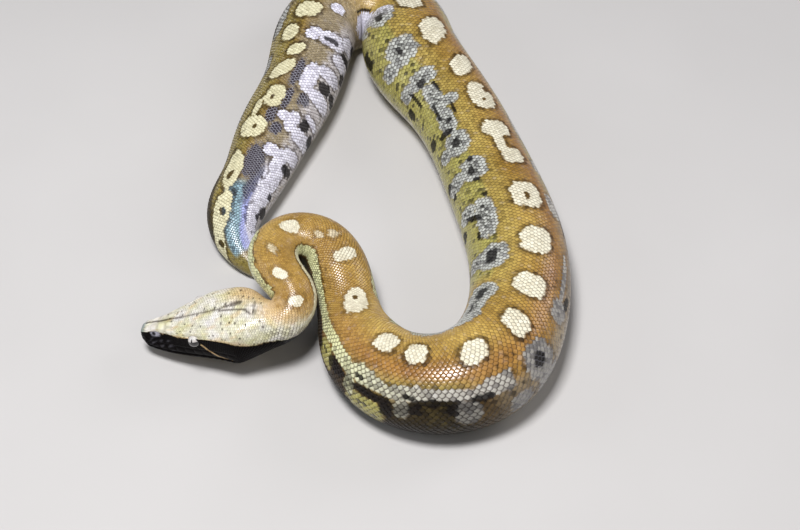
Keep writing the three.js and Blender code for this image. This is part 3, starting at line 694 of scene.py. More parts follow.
    # Painted shade on the flank along the right side of the coil and into the rear bend.
    shaded = smoothstep(30, 56, turn) * after(350, 380) * before(540, 600)
    mottled = smoothstep(-0.5, 1, spots.wobble(4, 5)) * after(280, 300)
    edge = most(outline, 0.9 * spotted * sharp(cream + 0.3), 0.9 * smudge_rim, rims) * on_body
    return {
        "crown": head["crown"],
        "nape": head["nape"] * (1 - striped * after(60, 68)),
        "side": head["side"],
        "cream": most(blotch, smudge, 0.75 * striped * (turn > 0) * before(128, 150)) * on_body,
        "pale": pale * most(on_body, striped * after(72, 80)),
        "warm": before(225, 300),
        # Besides the outlines and rims, the edge share carries painted shade on the flanks.
        "edge": most(
            edge, 0.4 * shaded * (1 - pale), umber * (1 - 0.3 * mottled) * (1 - pale),
            0.95 * lower * before_tip, head["lines"],
        ),
        "black": most(black * on_body, head["dots"]),
        "olive": olive * (1 - pale),
        "belly": most(belly, 0.4 * smoothstep(146, 165, around) * (1 - on_body)),
        "blue": most(blue * before_tip, 0.5 * head["snout"]),
        "lilac": most(lilac * before_tip, head["lilac"]),
        "mauve": mauve * (1 - pale) * (1 - blotch),
        "straw": 0.55 * after(640, 700),
        "slate": most(bands, 0.42 * outer) * (1 - blotch),
        "rust": most(
            smoothstep(-8, 26, turn) * after(200, 260) * before(600, 680), 0.35 * before(190, 240)
        ),
    }


# ---------- mesh helpers ----------


def named_object(name, mesh):
    piece = bpy.data.objects.new(name, mesh)
    bpy.context.scene.collection.objects.link(piece)
    return piece


def write_points(mesh, points):
    """Moves the vertices to these places, in millimetres."""
    mesh.vertices.foreach_set("co", (points * MM).astype(np.float32).ravel())


def set_shares(mesh, shares):
    """Writes arrays of one number a vertex as named attributes."""
    for name, values in shares.items():
        attribute = mesh.attributes.new(name, "FLOAT", "POINT")
        attribute.data.foreach_set("value", np.asarray(values, np.float32))


def unwrap(at, turn, first, last):
    """A place on the animal as a place on its unwrapped skin, from 0 to 1 both ways."""
    return 0.01 + 0.975 * (at - first) / (last - first), 0.01 + 0.98 * (turn + 180) / 360


class Template:
    """A closed plate with rounded corners: its top in rings, its sides and its underside."""

    def __init__(self, corners, rings, power):
        angle = 2 * math.pi * np.arange(corners) / corners
        reach = (np.abs(np.cos(angle)) ** power + np.abs(np.sin(angle)) ** power) ** (-1 / power)
        outline = np.column_stack([np.cos(angle), np.sin(angle)]) * reach[:, None]
        sizes = [1.0, *rings]
        tops = [outline * size for size in sizes]
        self.flat = np.concatenate([*tops, np.zeros((1, 2)), outline * 0.9])
        centre = len(sizes) * corners
        self.rim = np.concatenate([np.repeat(sizes, corners), [0], np.ones(corners)])
        self.under = np.concatenate([np.zeros(centre + 1), np.ones(corners)])
        self.faces = []
        for i in range(corners):
            j = (i + 1) % corners
            for ring in range(len(rings)):
                a = ring * corners
                self.faces.append((a + j, a + i, a + corners + i, a + corners + j))
            last = (len(sizes) - 1) * corners
            self.faces.append((last + j, last + i, centre))
            self.faces.append((i, j, centre + 1 + j, centre + 1 + i))
        self.faces.append(tuple(centre + 1 + i for i in range(corners)))
        # Each plate's own patch of the unwrapped skin: a disc for the top and the sides, and
        # beside it one for the underside.
        spread = np.where(self.under > 0, 1.0, 0.72 * self.rim)
        unit = outline / np.linalg.norm(outline, axis=1)[:, None]
        around = np.concatenate([np.tile(unit, (len(sizes), 1)), np.zeros((1, 2)), unit])
        patch = around * spread[:, None]
        loops = [patch[list(face)] for face in self.faces[:-1]]
        underside = patch[list(self.faces[-1])] * 0.8 + (2.9, 0)
        self.patch = np.concatenate(loops + [underside])


class Tile:
    """A wide closed plate: a grid on top, one below it and a wall between them."""

    def __init__(self, along, across):
        a, b = np.meshgrid(np.linspace(-1, 1, along), np.linspace(-1, 1, across), indexing="ij")
        grid = np.column_stack([a.ravel(), b.ravel()])
        count = along * across
        self.flat = np.concatenate([grid, grid])
        edge = np.maximum(np.abs(grid[:, 0]) ** 3, np.abs(grid[:, 1]) ** 9)
        self.rim = np.concatenate([edge, np.ones(count)])
        self.under = np.concatenate([np.zeros(count), np.ones(count)])
        self.faces = []
        for i in range(along - 1):
            for j in range(across - 1):
                a = i * across + j
                top = (a, a + 1, a + across + 1, a + across)
                self.faces.append(top)
                self.faces.append(tuple(count + k for k in reversed(top)))
        border = [(0, j) for j in range(across)] + [(i, across - 1) for i in range(1, along)]
        border += [(along - 1, j) for j in reversed(range(across - 1))]
        border += [(i, 0) for i in reversed(range(1, along - 1))]
        ring = [i * across + j for i, j in border]
        for a, b in zip(ring, ring[1:] + ring[:1]):
            self.faces.append((b, a, count + a, count + b))
        size = np.where(self.under > 0, 0.95, 1.0)
        patch = self.flat * size[:, None] * (0.9, 10)
        patch[count:, 0] += 2.4
        self.patch = np.concatenate([patch[list(face)] for face in self.faces])


PATCH = 0.0014                  # half the size of a plate's patch on the unwrapped skin
PIT_RIM = 0.3                   # a pit takes up the middle of a plate, out to this share of it


def plates(name, template, rows, own_normals=False, own_markings=0.6):
    """One mesh of many closed plates. Each row of the table has a place, a turn, half its length
    and half its width in millimetres, a spin in degrees, the heights of its front and back edge,
    its dome, its pit and its thickness."""
    at, turn, long, wide, spin, low, high, dome, pit, thick = rows.T
    flat, rim, under = template.flat, template.rim, template.under
    cosine, sine = np.cos(np.radians(spin)), np.sin(np.radians(spin))
    a, b = flat[:, 0][None] * long[:, None], flat[:, 1][None] * wide[:, None]
    along = a * cosine[:, None] - b * sine[:, None]
    across = a * sine[:, None] + b * cosine[:, None]
    step = np.maximum(FORM.girth_step(at, turn), 0.02)
    places = (at[:, None] + along).ravel()
    turns = (turn[:, None] + across / step[:, None]).ravel()
    slope = mix(low[:, None], high[:, None], (flat[:, 0][None] + 1) / 2)
    hump = np.sqrt(np.clip(1 - rim[None] ** 2, 0, 1)) * dome[:, None]
    hump = np.where(rim[None] < PIT_RIM, hump - pit[:, None], hump)
    height = slope + np.where(under[None] > 0, -thick[:, None], hump)
    points = FORM.skin(places, turns)
    if own_normals:
        normal = FORM.normal(places, turns)
    else:
        normal = np.repeat(FORM.normal(at, turn), len(flat), axis=0)
    points = above_floor(points + normal * height.reshape(-1, 1))

    count, size = len(at), len(flat)
    loops = np.concatenate([np.array(face) for face in template.faces])
    lengths = np.array([len(face) for face in template.faces])
    loop_index = (np.arange(count)[:, None] * size + loops[None]).ravel()
    starts = np.concatenate([[0], np.cumsum(np.tile(lengths, count))[:-1]])
    mesh = bpy.data.meshes.new(name)
    mesh.vertices.add(count * size)
    write_points(mesh, points)
    mesh.loops.add(len(loop_index))
    mesh.loops.foreach_set("vertex_index", loop_index.astype(np.int32))
    mesh.polygons.add(len(starts))
    mesh.polygons.foreach_set("loop_start", starts.astype(np.int32))
    mesh.polygons.foreach_set("use_smooth", np.ones(len(starts), bool))
    mesh.update(calc_edges=True)

    u, v = unwrap(at, (turn + 180) % 360 - 180, at.min(), at.max())
    roots = np.column_stack([u, v])
    uv = roots[:, None, :] + template.patch[None] * PATCH
    layer = mesh.uv_layers.new(name="OFBake")
    layer.data.foreach_set("uv", uv.astype(np.float32).ravel())

    draw = np.random.default_rng(SEED + count)
    seen_at, seen_turn = np.repeat(at, size), np.repeat(turn, size)
    shares = markings(mix(seen_at, places, own_markings), mix(seen_turn, turns, own_markings))
    shares["tone"] = np.repeat(draw.uniform(0, 1, count), size)
    shares["rim"] = np.tile(np.where(under > 0, 1, rim), count)
    shares["hollow"] = np.where(np.tile(rim, count) < PIT_RIM, np.repeat(pit > 0, size), 0)
    set_shares(mesh, shares)
    return named_object(name, mesh)


# ---------- materials ----------


def paint(red, green, blue):
    """A screen colour from 0 to 255 as a linear one."""
    screen = np.array([red, green, blue]) / 255
    linear = np.where(screen <= 0.04045, screen / 12.92, ((screen + 0.055) / 1.055) ** 2.4)
    return tuple(float(x) for x in linear)


class Wire:
    """A socket's output used as a number: each sum or product adds its Math node."""

    def __init__(self, finish, socket):
        self.finish = finish
        self.socket = socket

    def _math(self, operation, *terms):
        inputs = dict(enumerate(terms))
        return self.finish.node("ShaderNodeMath", {"operation": operation}, inputs)[0]

    def __add__(self, other):
        return self._math("ADD", self, other)

    def __sub__(self, other):
        return self._math("SUBTRACT", self, other)

    def __rsub__(self, other):
        return self._math("SUBTRACT", other, self)

    def __mul__(self, other):
        return self._math("MULTIPLY", self, other)

    def held(self):
        """Held between 0 and 1."""
        return self._math("MINIMUM", self._math("MAXIMUM", self, 0.0), 1.0)


class Finish:
    """A material under construction."""

    def __init__(self, name):
        self.material = bpy.data.materials.new(name)
        self.material.use_nodes = True
        self.tree = self.material.node_tree
        self.shader = self.tree.nodes["Principled BSDF"]

    def node(self, kind, settings=None, inputs=None):
        """Adds a node and returns its outputs as wires."""
        node = self.tree.nodes.new(kind)
        for key, value in (settings or {}).items():
            setattr(node, key, value)
        for key, value in (inputs or {}).items():
            if isinstance(value, Wire):
                self.tree.links.new(value.socket, node.inputs[key])
            else:
                node.inputs[key].default_value = value
        return [Wire(self, output) for output in node.outputs]

    def share(self, name):
        return self.node("ShaderNodeAttribute", {"attribute_name": name})[2]

    def noise(self, scale, detail=3.0):
        place = self.node("ShaderNodeTexCoord")[3]
        inputs = {"Vector": place, "Scale": scale, "Detail": detail}
        return self.node("ShaderNodeTexNoise", None, inputs)[0]

    def blend(self, factor, *pair, kind="MIX"):
        settings = {"data_type": "RGBA", "blend_type": kind}
        first, second = (x if isinstance(x, Wire) else (*x, 1.0) for x in pair)
        return self.node("ShaderNodeMix", settings, {0: factor, 6: first, 7: second})[2]

    def layers(self, colour, *layers):
        """Lays colours over a first one, each by its own share."""
        for factor, over, *kind in layers:
            colour = self.blend(factor, colour, over, kind=kind[0] if kind else "MIX")
        return colour

    def feed(self, socket, wire):
        self.tree.links.new(wire.socket, self.shader.inputs[socket])

    def fix(self, **values):
        for key, value in values.items():
            self.shader.inputs[key.replace("_", " ")].default_value = value

    def bump(self, height, strength, distance):
        inputs = {"Height": height, "Strength": strength, "Distance": distance}
        self.feed("Normal", self.node("ShaderNodeBump", None, inputs)[0])


def skin_colours(finish, colours):
    """The animal's markings as one colour, with the fine noise and the shares it is made from."""
    share = SimpleNamespace(**{name: finish.share(name) for name in MASKS})
    golden = (finish.noise(28.0, 2.0) * 2.2 - 0.6).held()
    greener = (finish.noise(110.0) * 3.4 - 1.3).held()
    hazy = (finish.noise(60.0, 4.0) * 4.0 - 2.1).held()
    fine = finish.noise(420.0)
    ground = finish.layers(
        colours.brown, (golden, colours.gold), (share.rust * 0.65, colours.rust),
        (share.straw, colours.umber),
    )
    light = finish.layers(
        colours.grey_white, (share.rust * 0.2, colours.rust), (share.warm, colours.stripe),
        (share.lilac, colours.lilac),
    )
    crown = finish.layers(
        colours.crown, (greener, colours.crown_green), (hazy * 0.26, colours.violet),
        (share.nape, colours.nape), (share.blue, colours.blue),
    )
    colour = finish.layers(
        ground,
        (share.olive * 0.9, finish.blend(share.straw, colours.olive, colours.umber)),
        (share.mauve * 0.9, colours.mauve),
        (share.belly, colours.belly),
        # painted lilac glare over the rear left flank and the tail's base
        (share.lilac, colours.lilac),
        (share.pale, light),
        (share.blue, finish.blend(share.lilac, colours.blue, colours.violet)),
        (share.slate * 0.92, colours.slate),
        (share.cream, finish.blend(share.straw, colours.cream, colours.straw)),
        (share.crown, crown),
        (share.side, colours.head_side),
        # painted lilac glints on the dark lips
        (share.lilac * share.side, colours.lilac),
        (share.edge * 0.85, colours.edge),
        (share.black * 0.93, colours.black),
        ((fine * 3.0 - 1.6).held() * 0.16, colours.edge),
    )
    return colour, fine, share


def scale_finish(name, colours, gloss, shine):
    """Each scale has a tone and a seam of its own, and the pale and dark ones differ in gloss."""
    finish = Finish(name)
    colour, fine, share = skin_colours(finish, colours)
    tone, rim = finish.share("tone"), finish.share("rim")
    speckled = (share.pale * (1.0 - share.cream) + share.blue * 0.9 - share.lilac * 0.5).held()
    fleck = ((tone * -1.0 + 0.13) * 12.0).held() * share.olive * (1.0 - share.straw)
    gap = (rim - 0.5).held() * 2.0 * (speckled * 0.6 + 0.3) * (1.0 - share.slate)
    colour = finish.layers(
        colour,
        (tone * 0.3, (1.0, 0.98, 0.94), "SOFT_LIGHT"),
        ((tone * -1.0 + 1.0) * 0.26, (0.3, 0.24, 0.2), "MULTIPLY"),
        (((tone * -1.0 + 0.3) * 9.0).held() * speckled * 0.5, (0.3, 0.29, 0.33), "MULTIPLY"),
        (fleck * 0.7, colours.black),
        ((rim - 0.74).held() * 3.8 * share.slate * 0.55, colours.lilac),
        (gap, (0.2, 0.16, 0.15), "MULTIPLY"),
        (finish.share("hollow"), colours.black),
    )
    finish.feed("Base Color", colour)
    finish.feed("Roughness", fine * 0.16 + tone * 0.1 + (gloss - 0.1))
    dark = share.side + share.edge + share.black
    finish.feed("Coat Weight", (0.8 - dark * 0.8 - share.cream * 0.5).held())
    finish.fix(Specular_IOR_Level=shine, Coat_Roughness=0.2)
    finish.bump(fine, 0.25, 0.0002)
    return finish.material


def skin_finish(name, colours):
    finish = Finish(name)
    colour, fine, _ = skin_colours(finish, colours)
    shade = (finish.share("depth") * 0.4, (0.2, 0.15, 0.13), "MULTIPLY")
    finish.feed("Base Color", finish.layers(colour, shade))
    finish.feed("Roughness", fine * 0.2 + 0.45)
    finish.fix(Specular_IOR_Level=0.06)
    finish.bump(finish.noise(900.0, 4.0), 0.3, 0.00015)
    return finish.material


def eye_finish(name, colours):
    finish = Finish(name)
    across, up = finish.share("iris_across"), finish.share("iris_up")
    fibres = finish.noise(1500.0, 4.0)
    upper = ((up - 0.1 + fibres * 0.1) * 5.0).held()
    pupil = ((1.0 - (across * across * 60.0 + up * up * 2.2)) * 7.0).held()
    colour = finish.layers(
        colours.iris_dark, (upper, colours.iris),
        ((fibres * 2.4 - 1.0).held() * 0.35, colours.iris_dark), (pupil, colours.black),
        (((across * across + up * up - 0.86) * 8.0).held(), colours.black),
    )
    finish.feed("Base Color", colour)
    finish.fix(Roughness=0.07, Specular_IOR_Level=0.6, Coat_Weight=1.0, Coat_Roughness=0.03)
    return finish.material


# ---------- what a user may change ----------

COLOURS = {
    "brown": ("Brown", "Ground colour of the back", (147, 113, 47)),
    "gold": ("Gold", "Lighter parts of the back", (200, 167, 88)),
    "cream": ("Cream", "Blotches along the back", (234, 228, 200)),
    # Edge also serves for painted shade on the flanks.
    "edge": ("Edge", "Outline of the blotches", (42, 28, 18)),
    "stripe": ("Stripe", "Pale stripe of the neck and the front bend", (230, 233, 170)),
    "grey_white": ("Grey-white", "Patches of the flanks", (186, 190, 182)),
    "olive": ("Olive", "Lower flanks", (166, 162, 88)),
    # Black also serves for painted shade behind the front bend and on the tail's left side.
    "black": ("Black", "Cores and flecks of the flanks", (16, 13, 15)),
    "belly": ("Belly", "Scutes of the belly", (206, 196, 160)),
    "blue": ("Blue-grey", "Base of the tail", (142, 176, 188)),
    # Lilac is mostly painted glare on the rear flank and painted glints on the lips.
    "lilac": ("Lilac", "Rear left flank", (240, 240, 255)),
    "rust": ("Rust", "Outer side of the front bend and the right side", (150, 99, 46)),
    "umber": ("Umber", "Ground behind the rear bend", (108, 88, 34)),
    "straw": ("Straw", "Blotches behind the rear bend", (218, 214, 160)),
    # Violet is painted glare beside the blue of the tail, and the lavender tint of the crown.
    "violet": ("Violet", "Beside the blue of the tail", (176, 184, 242)),
    "slate": ("Slate", "Dark bands of the rear left flank", (30, 29, 48)),
    "mauve": ("Mauve", "Between the patches of the rear left flank", (150, 138, 112)),
    "crown": ("Crown", "Top of the head", (232, 229, 218)),
    "crown_green": ("Crown shade", "Greener parts of the crown", (212, 210, 164)),
    "nape": ("Nape", "Behind the crown", (220, 182, 122)),
    "head_side": ("Head side", "Cheeks and lips", (8, 5, 6)),
    "iris": ("Iris", "Upper half of the iris", (206, 202, 196)),
    "iris_dark": ("Dark iris", "Lower half of the iris", (20, 16, 18)),
}


class SnakeColours(PropertyGroup):
    __annotations__ = {
        key: FloatVectorProperty(
            name=name, description=text, default=paint(*shade), subtype="COLOR", min=0, max=1
        )
        for key, (name, text, shade) in COLOURS.items()
    }


class SnakeSizes(PropertyGroup):
    ring_corners: IntProperty(
        name="Ring corners", description="Corners of one ring of the skin", default=128, min=16
    )
    head_step: FloatProperty(
        name="Head step", description="Spacing of the skin's rings on the head, in millimetres",
        default=0.42, min=0.1,
    )
    body_step: FloatProperty(
        name="Body step", description="Spacing of the skin's rings on the body, in millimetres",
        default=2.1, min=0.5,
    )
    camera_distance: FloatProperty(
        name="Camera distance", description="From the camera to the look point", default=0.95,
        unit="LENGTH",
    )
    camera_elevation: FloatProperty(
        name="Camera elevation", description="Angle of the camera above the floor",
        default=math.radians(50), unit="ROTATION",
    )
    lens: FloatProperty(
        name="Lens", description="Focal length of the camera in millimetres", default=73.7
    )


# ---------- pieces ----------

FINISHES = {
    "bare_skin": (skin_finish,),
    "eye_clear": (eye_finish,),
    "head_gloss": (scale_finish, 0.4, 0.04),
    "scale_gloss": (scale_finish, 0.36, 0.16),
}
FLESH = ["head", *[f"neck_{i}" for i in range(1, 6)], *[f"body_{i:02d}" for i in range(1, 14)],
         "tail_base", "tail_tip"]


def dress(piece, finish):
    """Gives a piece its material and fixes it to the root."""
    make, *values = FINISHES[finish]
    material = bpy.data.materials.get(finish)
    piece.data.materials.append(material or make(finish, bpy.context.scene.snake_colours, *values))
    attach(piece, "root")
    return piece


def skin_places(sizes):
    """Where the skin's rings lie: close on the head, wider on the body."""
    head = np.arange(-SNOUT_BULGE, BODY_FROM, sizes.head_step)
    cap = -SNOUT_BULGE * np.cos(np.linspace(0, math.pi / 2, 8))
    head = np.concatenate([cap, head[head > 0.3]])
    count = int((TAIL_END - BODY_FROM) / sizes.body_step)
    tail_cap = TAIL_END + TAIL_POINT * np.sin(np.linspace(0, math.pi / 2, 5))[1:]
    return np.concatenate([head, np.linspace(BODY_FROM, TAIL_END, count), tail_cap])


# Pits at the tip of the snout: place, turn on either side, radius and depth.
SNOUT_PITS = (0, 36, 0.6, 0.5)


def dimple(at, turn, place, middle, radius, depth):
    step = FORM.girth_step(at, turn)
    away = np.hypot(at - place, (np.abs(turn) - middle) * step) / radius
    return depth * np.exp(-(away**4))


class OBJECT_OT_snake_skin(Operator):
    """The skin under the scales, one closed surface from the snout to the tip of the tail"""

    bl_idname = "object.snake_skin"
    bl_label = "Skin"

    def execute(self, context):
        sizes = context.scene.snake_sizes
        places = skin_places(sizes)
        rings, corners = len(places), sizes.ring_corners
        shell = bmesh.new()
        shell.loops.layers.uv.new("OFBake")
        bmesh.ops.create_grid(
            shell, x_segments=rings - 1, y_segments=corners, size=0.5, calc_uvs=True
        )
        mesh = bpy.data.meshes.new("skin")
        shell.to_mesh(mesh)
        shell.free()
        flat = np.empty(len(mesh.vertices) * 3)
        mesh.vertices.foreach_get("co", flat)
        flat = flat.reshape(-1, 3)
        at = places[np.rint((flat[:, 0] + 0.5) * (rings - 1)).astype(int)]
        turn = (flat[:, 1] + 0.5) * 360 - 180
        depth = coat_depth(at) + dimple(at, turn, *SNOUT_PITS)
        after, before = stretches(at)
        rise = -depth * after(-SNOUT_BULGE, 2) * before(TAIL_END - 3, TAIL_END)
        write_points(mesh, FORM.raised(at, turn, rise))
        shares = markings(at, turn)
        shares["depth"] = smoothstep(2, 12, at)
        set_shares(mesh, shares)
        shell = bmesh.new()
        shell.from_mesh(mesh)
        bmesh.ops.remove_doubles(shell, verts=shell.verts, dist=2e-6)
        bmesh.ops.dissolve_degenerate(shell, edges=shell.edges, dist=1e-7)
        bmesh.ops.recalc_face_normals(shell, faces=shell.faces)
        shell.to_mesh(mesh)
        shell.free()
        mesh.shade_smooth()
        skin = dress(named_object("skin", mesh), "bare_skin")
        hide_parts(*FLESH)
        return {"FINISHED"}


GAZE = (0.88, 0.44, -0.18)      # where an eye looks: to its side, up, and back along the head


class OBJECT_OT_snake_eyes(Operator):
    """The two eyes, each a clear ball with its iris and upright pupil"""

    bl_idname = "object.snake_eyes"
    bl_label = "Eyes"

    def execute(self, context):
        for hand, word in ((1, "left"), (-1, "right")):
            frame_here = FORM.frame(np.array([EYE_AT]))
            centre, forward, side, up = (part[0] for part in frame_here[:4])
            middle = Vector(centre + side * hand * EYE_SIDE + up * EYE_UP)
            gaze = side * hand * GAZE[0] + up * GAZE[1] + forward * GAZE[2]
            gaze = Vector(gaze).normalized()
            ball = bmesh.new()
            ball.loops.layers.uv.new("OFBake")
            bmesh.ops.create_uvsphere(
                ball, u_segments=56, v_segments=36, radius=EYE_RADIUS, calc_uvs=True
            )
            turned = gaze.to_track_quat("Z", "Y").to_matrix()
            bmesh.ops.rotate(ball, verts=ball.verts, matrix=turned)
            bmesh.ops.translate(ball, verts=ball.verts, vec=middle)
            bmesh.ops.scale(ball, verts=ball.verts, vec=(MM, MM, MM))
            mesh = bpy.data.meshes.new(f"eye_{word}_ball")
            ball.to_mesh(mesh)
            ball.free()
            mesh.shade_smooth()
            points = np.empty(len(mesh.vertices) * 3)
            mesh.vertices.foreach_get("co", points)
            away = (points.reshape(-1, 3) / MM - np.array(middle)) / EYE_RADIUS
            sky = Vector(up) - gaze * gaze.dot(Vector(up))
            sky.normalize()
            beside = gaze.cross(sky)
            set_shares(mesh, {
                "iris_across": away @ np.array(beside), "iris_up": away @ np.array(sky),
            })
            eye = dress(named_object(f"eye_{word}_ball", mesh), "eye_clear")
            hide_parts(f"eye_{word}")
        return {"FINISHED"}


# The head's shields on the left, each with its place, turn, half length, half width, dome and pit.
# Every one is repeated on the right.
CROWN_SHIELDS = [
    # internasal, prefrontals, the ridge before the eye
    (4.2, 26, 2.4, 1.9, 0.28, 0), (9.2, 27, 2.6, 2.2, 0.3, 0), (14.6, 25, 2.6, 2.6, 0.3, 0),
    (14.4, 58, 2.4, 1.4, 0.25, 0),
    # frontals, supraoculars
    (19.8, 14, 2.4, 1.7, 0.26, 0), (20, 43, 2.3, 1.9, 0.26, 0), (34.2, 55, 3.9, 1.5, 0.42, 0),
    (28.4, 54, 1.9, 1.5, 0.3, 0),
    # nasals, the first with the nostril
    (9.4, 70, 2.7, 1.9, 0.35, 1.1), (5, 66, 1.7, 1.7, 0.25, 0),
]
UPPER_LIP = {"count": 11, "first": 1.6, "last": 57, "turn": 99.5, "half": 7.3, "pits": (0, 1)}
LOWER_LIP = {"count": 14, "first": 2, "last": 56.5, "turn": 121.5, "half": 5.6, "pits": (9, 10, 11)}
LIP_DOME, LIP_PIT = 0.34, 0.55
# Heights of the front and back edges of every shield over the skin's form, and its thickness.
SHIELD_FRONT, SHIELD_BACK, SHIELD_THICK = -0.22, -0.2, 0.5
# The ring of small scales round the eye: how many, how far off, half length, half width and dome.
EYE_RING = (13, 0.55, 0.85, 1.02, 0.3)
EYE_MARGIN = 1.3
# Parts of the head without small scales: before which place, and from and to which turn.
SHIELDED = [(3, -1, 181), (12.5, -1, 80), (17.4, -1, 50), (22.3, 3, 52), (MOUTH_END + 1.5, 91, 128)]


def lip_rows(lip):
    edges = np.linspace(lip["first"], lip["last"], lip["count"] + 1)
    for i, (start, stop) in enumerate(zip(edges[:-1], edges[1:])):
        at = (start + stop) / 2
        step = FORM.girth_step(np.array([at]), np.array([lip["turn"]]))[0]
        pit = LIP_PIT if i in lip["pits"] else 0
        yield at, lip["turn"], (stop - start) * 0.53, lip["half"] * step, LIP_DOME, pit


def eye_ring_rows():
    """The small scales round the eye, each with its spin after the pit."""
    step = FORM.girth_step(np.array([EYE_AT]), np.array([EYE_TURN]))[0]
    count, off, long, wide, dome = EYE_RING
    for i in range(count):
        angle = 2 * math.pi * i / count
        at = EYE_AT + (EYE_RADIUS + off) * math.cos(angle)
        turn = EYE_TURN + (EYE_RADIUS + off) * math.sin(angle) / step
        yield at, turn, long, wide, dome, 0, math.degrees(angle)


class OBJECT_OT_snake_shields(Operator):
    """The shields of the snout and brow, the lip shields with their pits and the eye rings"""

    bl_idname = "object.snake_shields"
    bl_label = "Head shields"

    def execute(self, context):
        left = [*CROWN_SHIELDS, *lip_rows(UPPER_LIP), *lip_rows(LOWER_LIP), *eye_ring_rows()]
        table = np.array([
            (at, hand * turn, long, wide, hand * sum(spin), SHIELD_FRONT, SHIELD_BACK, dome, pit,
             SHIELD_THICK)
            for at, turn, long, wide, dome, pit, *spin in left for hand in (1, -1)
        ], float)
        template = Template(20, [0.93, 0.7, 0.42, 0.2], 3.4)
        shields = plates("head_shields", template, table, own_normals=True, own_markings=1)
        dress(shields, "head_gloss")
        return {"FINISHED"}


def on_shield(at, turn):
    """True where a shield, a lip, the mouth or an eye takes the place of small scales."""
    around = np.abs(turn)
    step = FORM.girth_step(at, turn)
    covered = np.hypot(at - EYE_AT, (around - EYE_TURN) * step) < EYE_RADIUS + EYE_MARGIN
    for last, inner, outer in SHIELDED:
        covered |= (at < last) & (around > inner) & (around < outer)
    for place, middle, long, wide, *_ in CROWN_SHIELDS:
        near_along = np.abs(at - place) < long * 0.8 + 0.3
        covered |= near_along & (np.abs(around - middle) * step < wide * 0.8 + 0.2)
    return covered


def lattice():
    """Places and turns of all small scales, in rows that are each half a scale out of step. The
    tail has fewer, wider rows."""
    grid = np.arange(0, TAIL_END, LATTICE_STEP)
    count = np.concatenate([[0], np.cumsum(LATTICE_STEP / scale_pitch(grid))[:-1]])
    numbers = np.arange(1, int(count[-1]))
    parts = []
    for first, last, wider in ((0, TAIL_ROWS, 1), (TAIL_ROWS, TAIL_END, TAIL_WIDER)):
        reach = int(ROWS_TO_BELLY / wider)
        number, row = np.meshgrid(numbers, np.arange(-reach, reach + 1), indexing="ij")
        at, row = np.interp(number + 0.5 * (row % 2), count, grid).ravel(), row.ravel()
        turn, apart = row_turn(row * wider, at)
        around = np.abs(turn)
        keep = (at >= first) & (at < last) & ((around < BELLY_TURN) | (at < SCUTES_FROM))
        keep &= ~((at < SCUTES_FROM) & on_shield(at, turn))
        parts.append(np.column_stack([at, turn, apart * wider])[keep])
    return np.concatenate(parts).T


# Each zone of small scales, from where to where, its finish and how closely the markings follow
# the outline of a scale: 1 for its own place at each corner, 0 for one place for the whole scale.
SCALE_ZONES = [
    ("head", 0, HEAD_SCALES_TO, "head_gloss", 1),
    ("neck", HEAD_SCALES_TO, 215, "scale_gloss", 0.6),
    ("body", 215, 850, "scale_gloss", 0.6),
    ("tail", 850, TAIL_END + 9, "scale_gloss", 0.6),
]


class OBJECT_OT_snake_scales(Operator):
    """The small overlapping scales of the head, neck, body and tail, each a closed plate"""

    bl_idname = "object.snake_scales"
    bl_label = "Scales"

    def execute(self, context):
        draw = np.random.default_rng(SEED)
        at, turn, apart = lattice()
        pitch = scale_pitch(at)
        stand = pitch * relief(at)
        wide = SCALE_WIDTH * apart * FORM.girth_step(at, turn)

        def uneven(share):
            return draw.uniform(-share, share, len(at))

        size = 1 + uneven(UNEVEN_SIZE)
        table = np.column_stack([
            at + pitch * uneven(UNEVEN_PLACE), turn + apart * uneven(UNEVEN_PLACE),
            SCALE_LENGTH * pitch * size, np.clip(wide, 0.25, 3) * size, uneven(UNEVEN_SPIN),
            -coat_depth(at) - SCALE_FRONT * stand, -SCALE_BACK * stand, SCALE_DOME * stand,
            np.zeros(len(at)), SCALE_THICK * stand,
        ])
        template = Template(8, [0.62], 1.55)
        for zone, first, last, finish, own in SCALE_ZONES:
            rows = table[(at >= first) & (at < last)]
            rows = rows[np.argsort(rows[:, 0], kind="stable")]
            parts = np.array_split(rows, math.ceil(len(rows) / PIECE_SCALES))
            for number, part in enumerate(parts, 1):
                piece = plates(f"{zone}_scales_{number}", template, part, own_markings=own)
                dress(piece, finish)
        return {"FINISHED"}


# Distance between scutes, half length, height of the back edge, dome and thickness for each
# millimetre from scale to scale, depth of the front edge in coats, and overlap with the scales in
# degrees.
SCUTE_PITCH, SCUTE_LENGTH, SCUTE_BACK, SCUTE_DOME, SCUTE_THICK = 1.95, 1.35, 0.03, 0.02, 0.1
SCUTE_DEPTH, SCUTE_OVERLAP = 1.2, 1.5


class OBJECT_OT_snake_scutes(Operator):
    """The wide scutes across the belly"""

    bl_idname = "object.snake_scutes"
    bl_label = "Scutes"

    def execute(self, context):
        places = [float(SCUTES_FROM)]
        while places[-1] < TAIL_END - 2:
            pitch = float(scale_pitch(np.array([places[-1]]))[0])
            places.append(places[-1] + SCUTE_PITCH * pitch)
        at = np.array(places[:-1])
        pitch = scale_pitch(at)
        below, level = np.full(len(at), 180.0), np.zeros(len(at))
        arc = (180 - BELLY_TURN + SCUTE_OVERLAP) * FORM.girth_step(at, below)
        table = np.column_stack([
            at, below, SCUTE_LENGTH * pitch, arc, level, -SCUTE_DEPTH * coat_depth(at),
            -SCUTE_BACK * pitch, SCUTE_DOME * pitch, level, SCUTE_THICK * pitch,
        ])
        scutes = plates("belly_scutes", Tile(4, 15), table, own_normals=True)
        dress(scutes, "scale_gloss")
        return {"FINISHED"}


# ---------- stage ----------

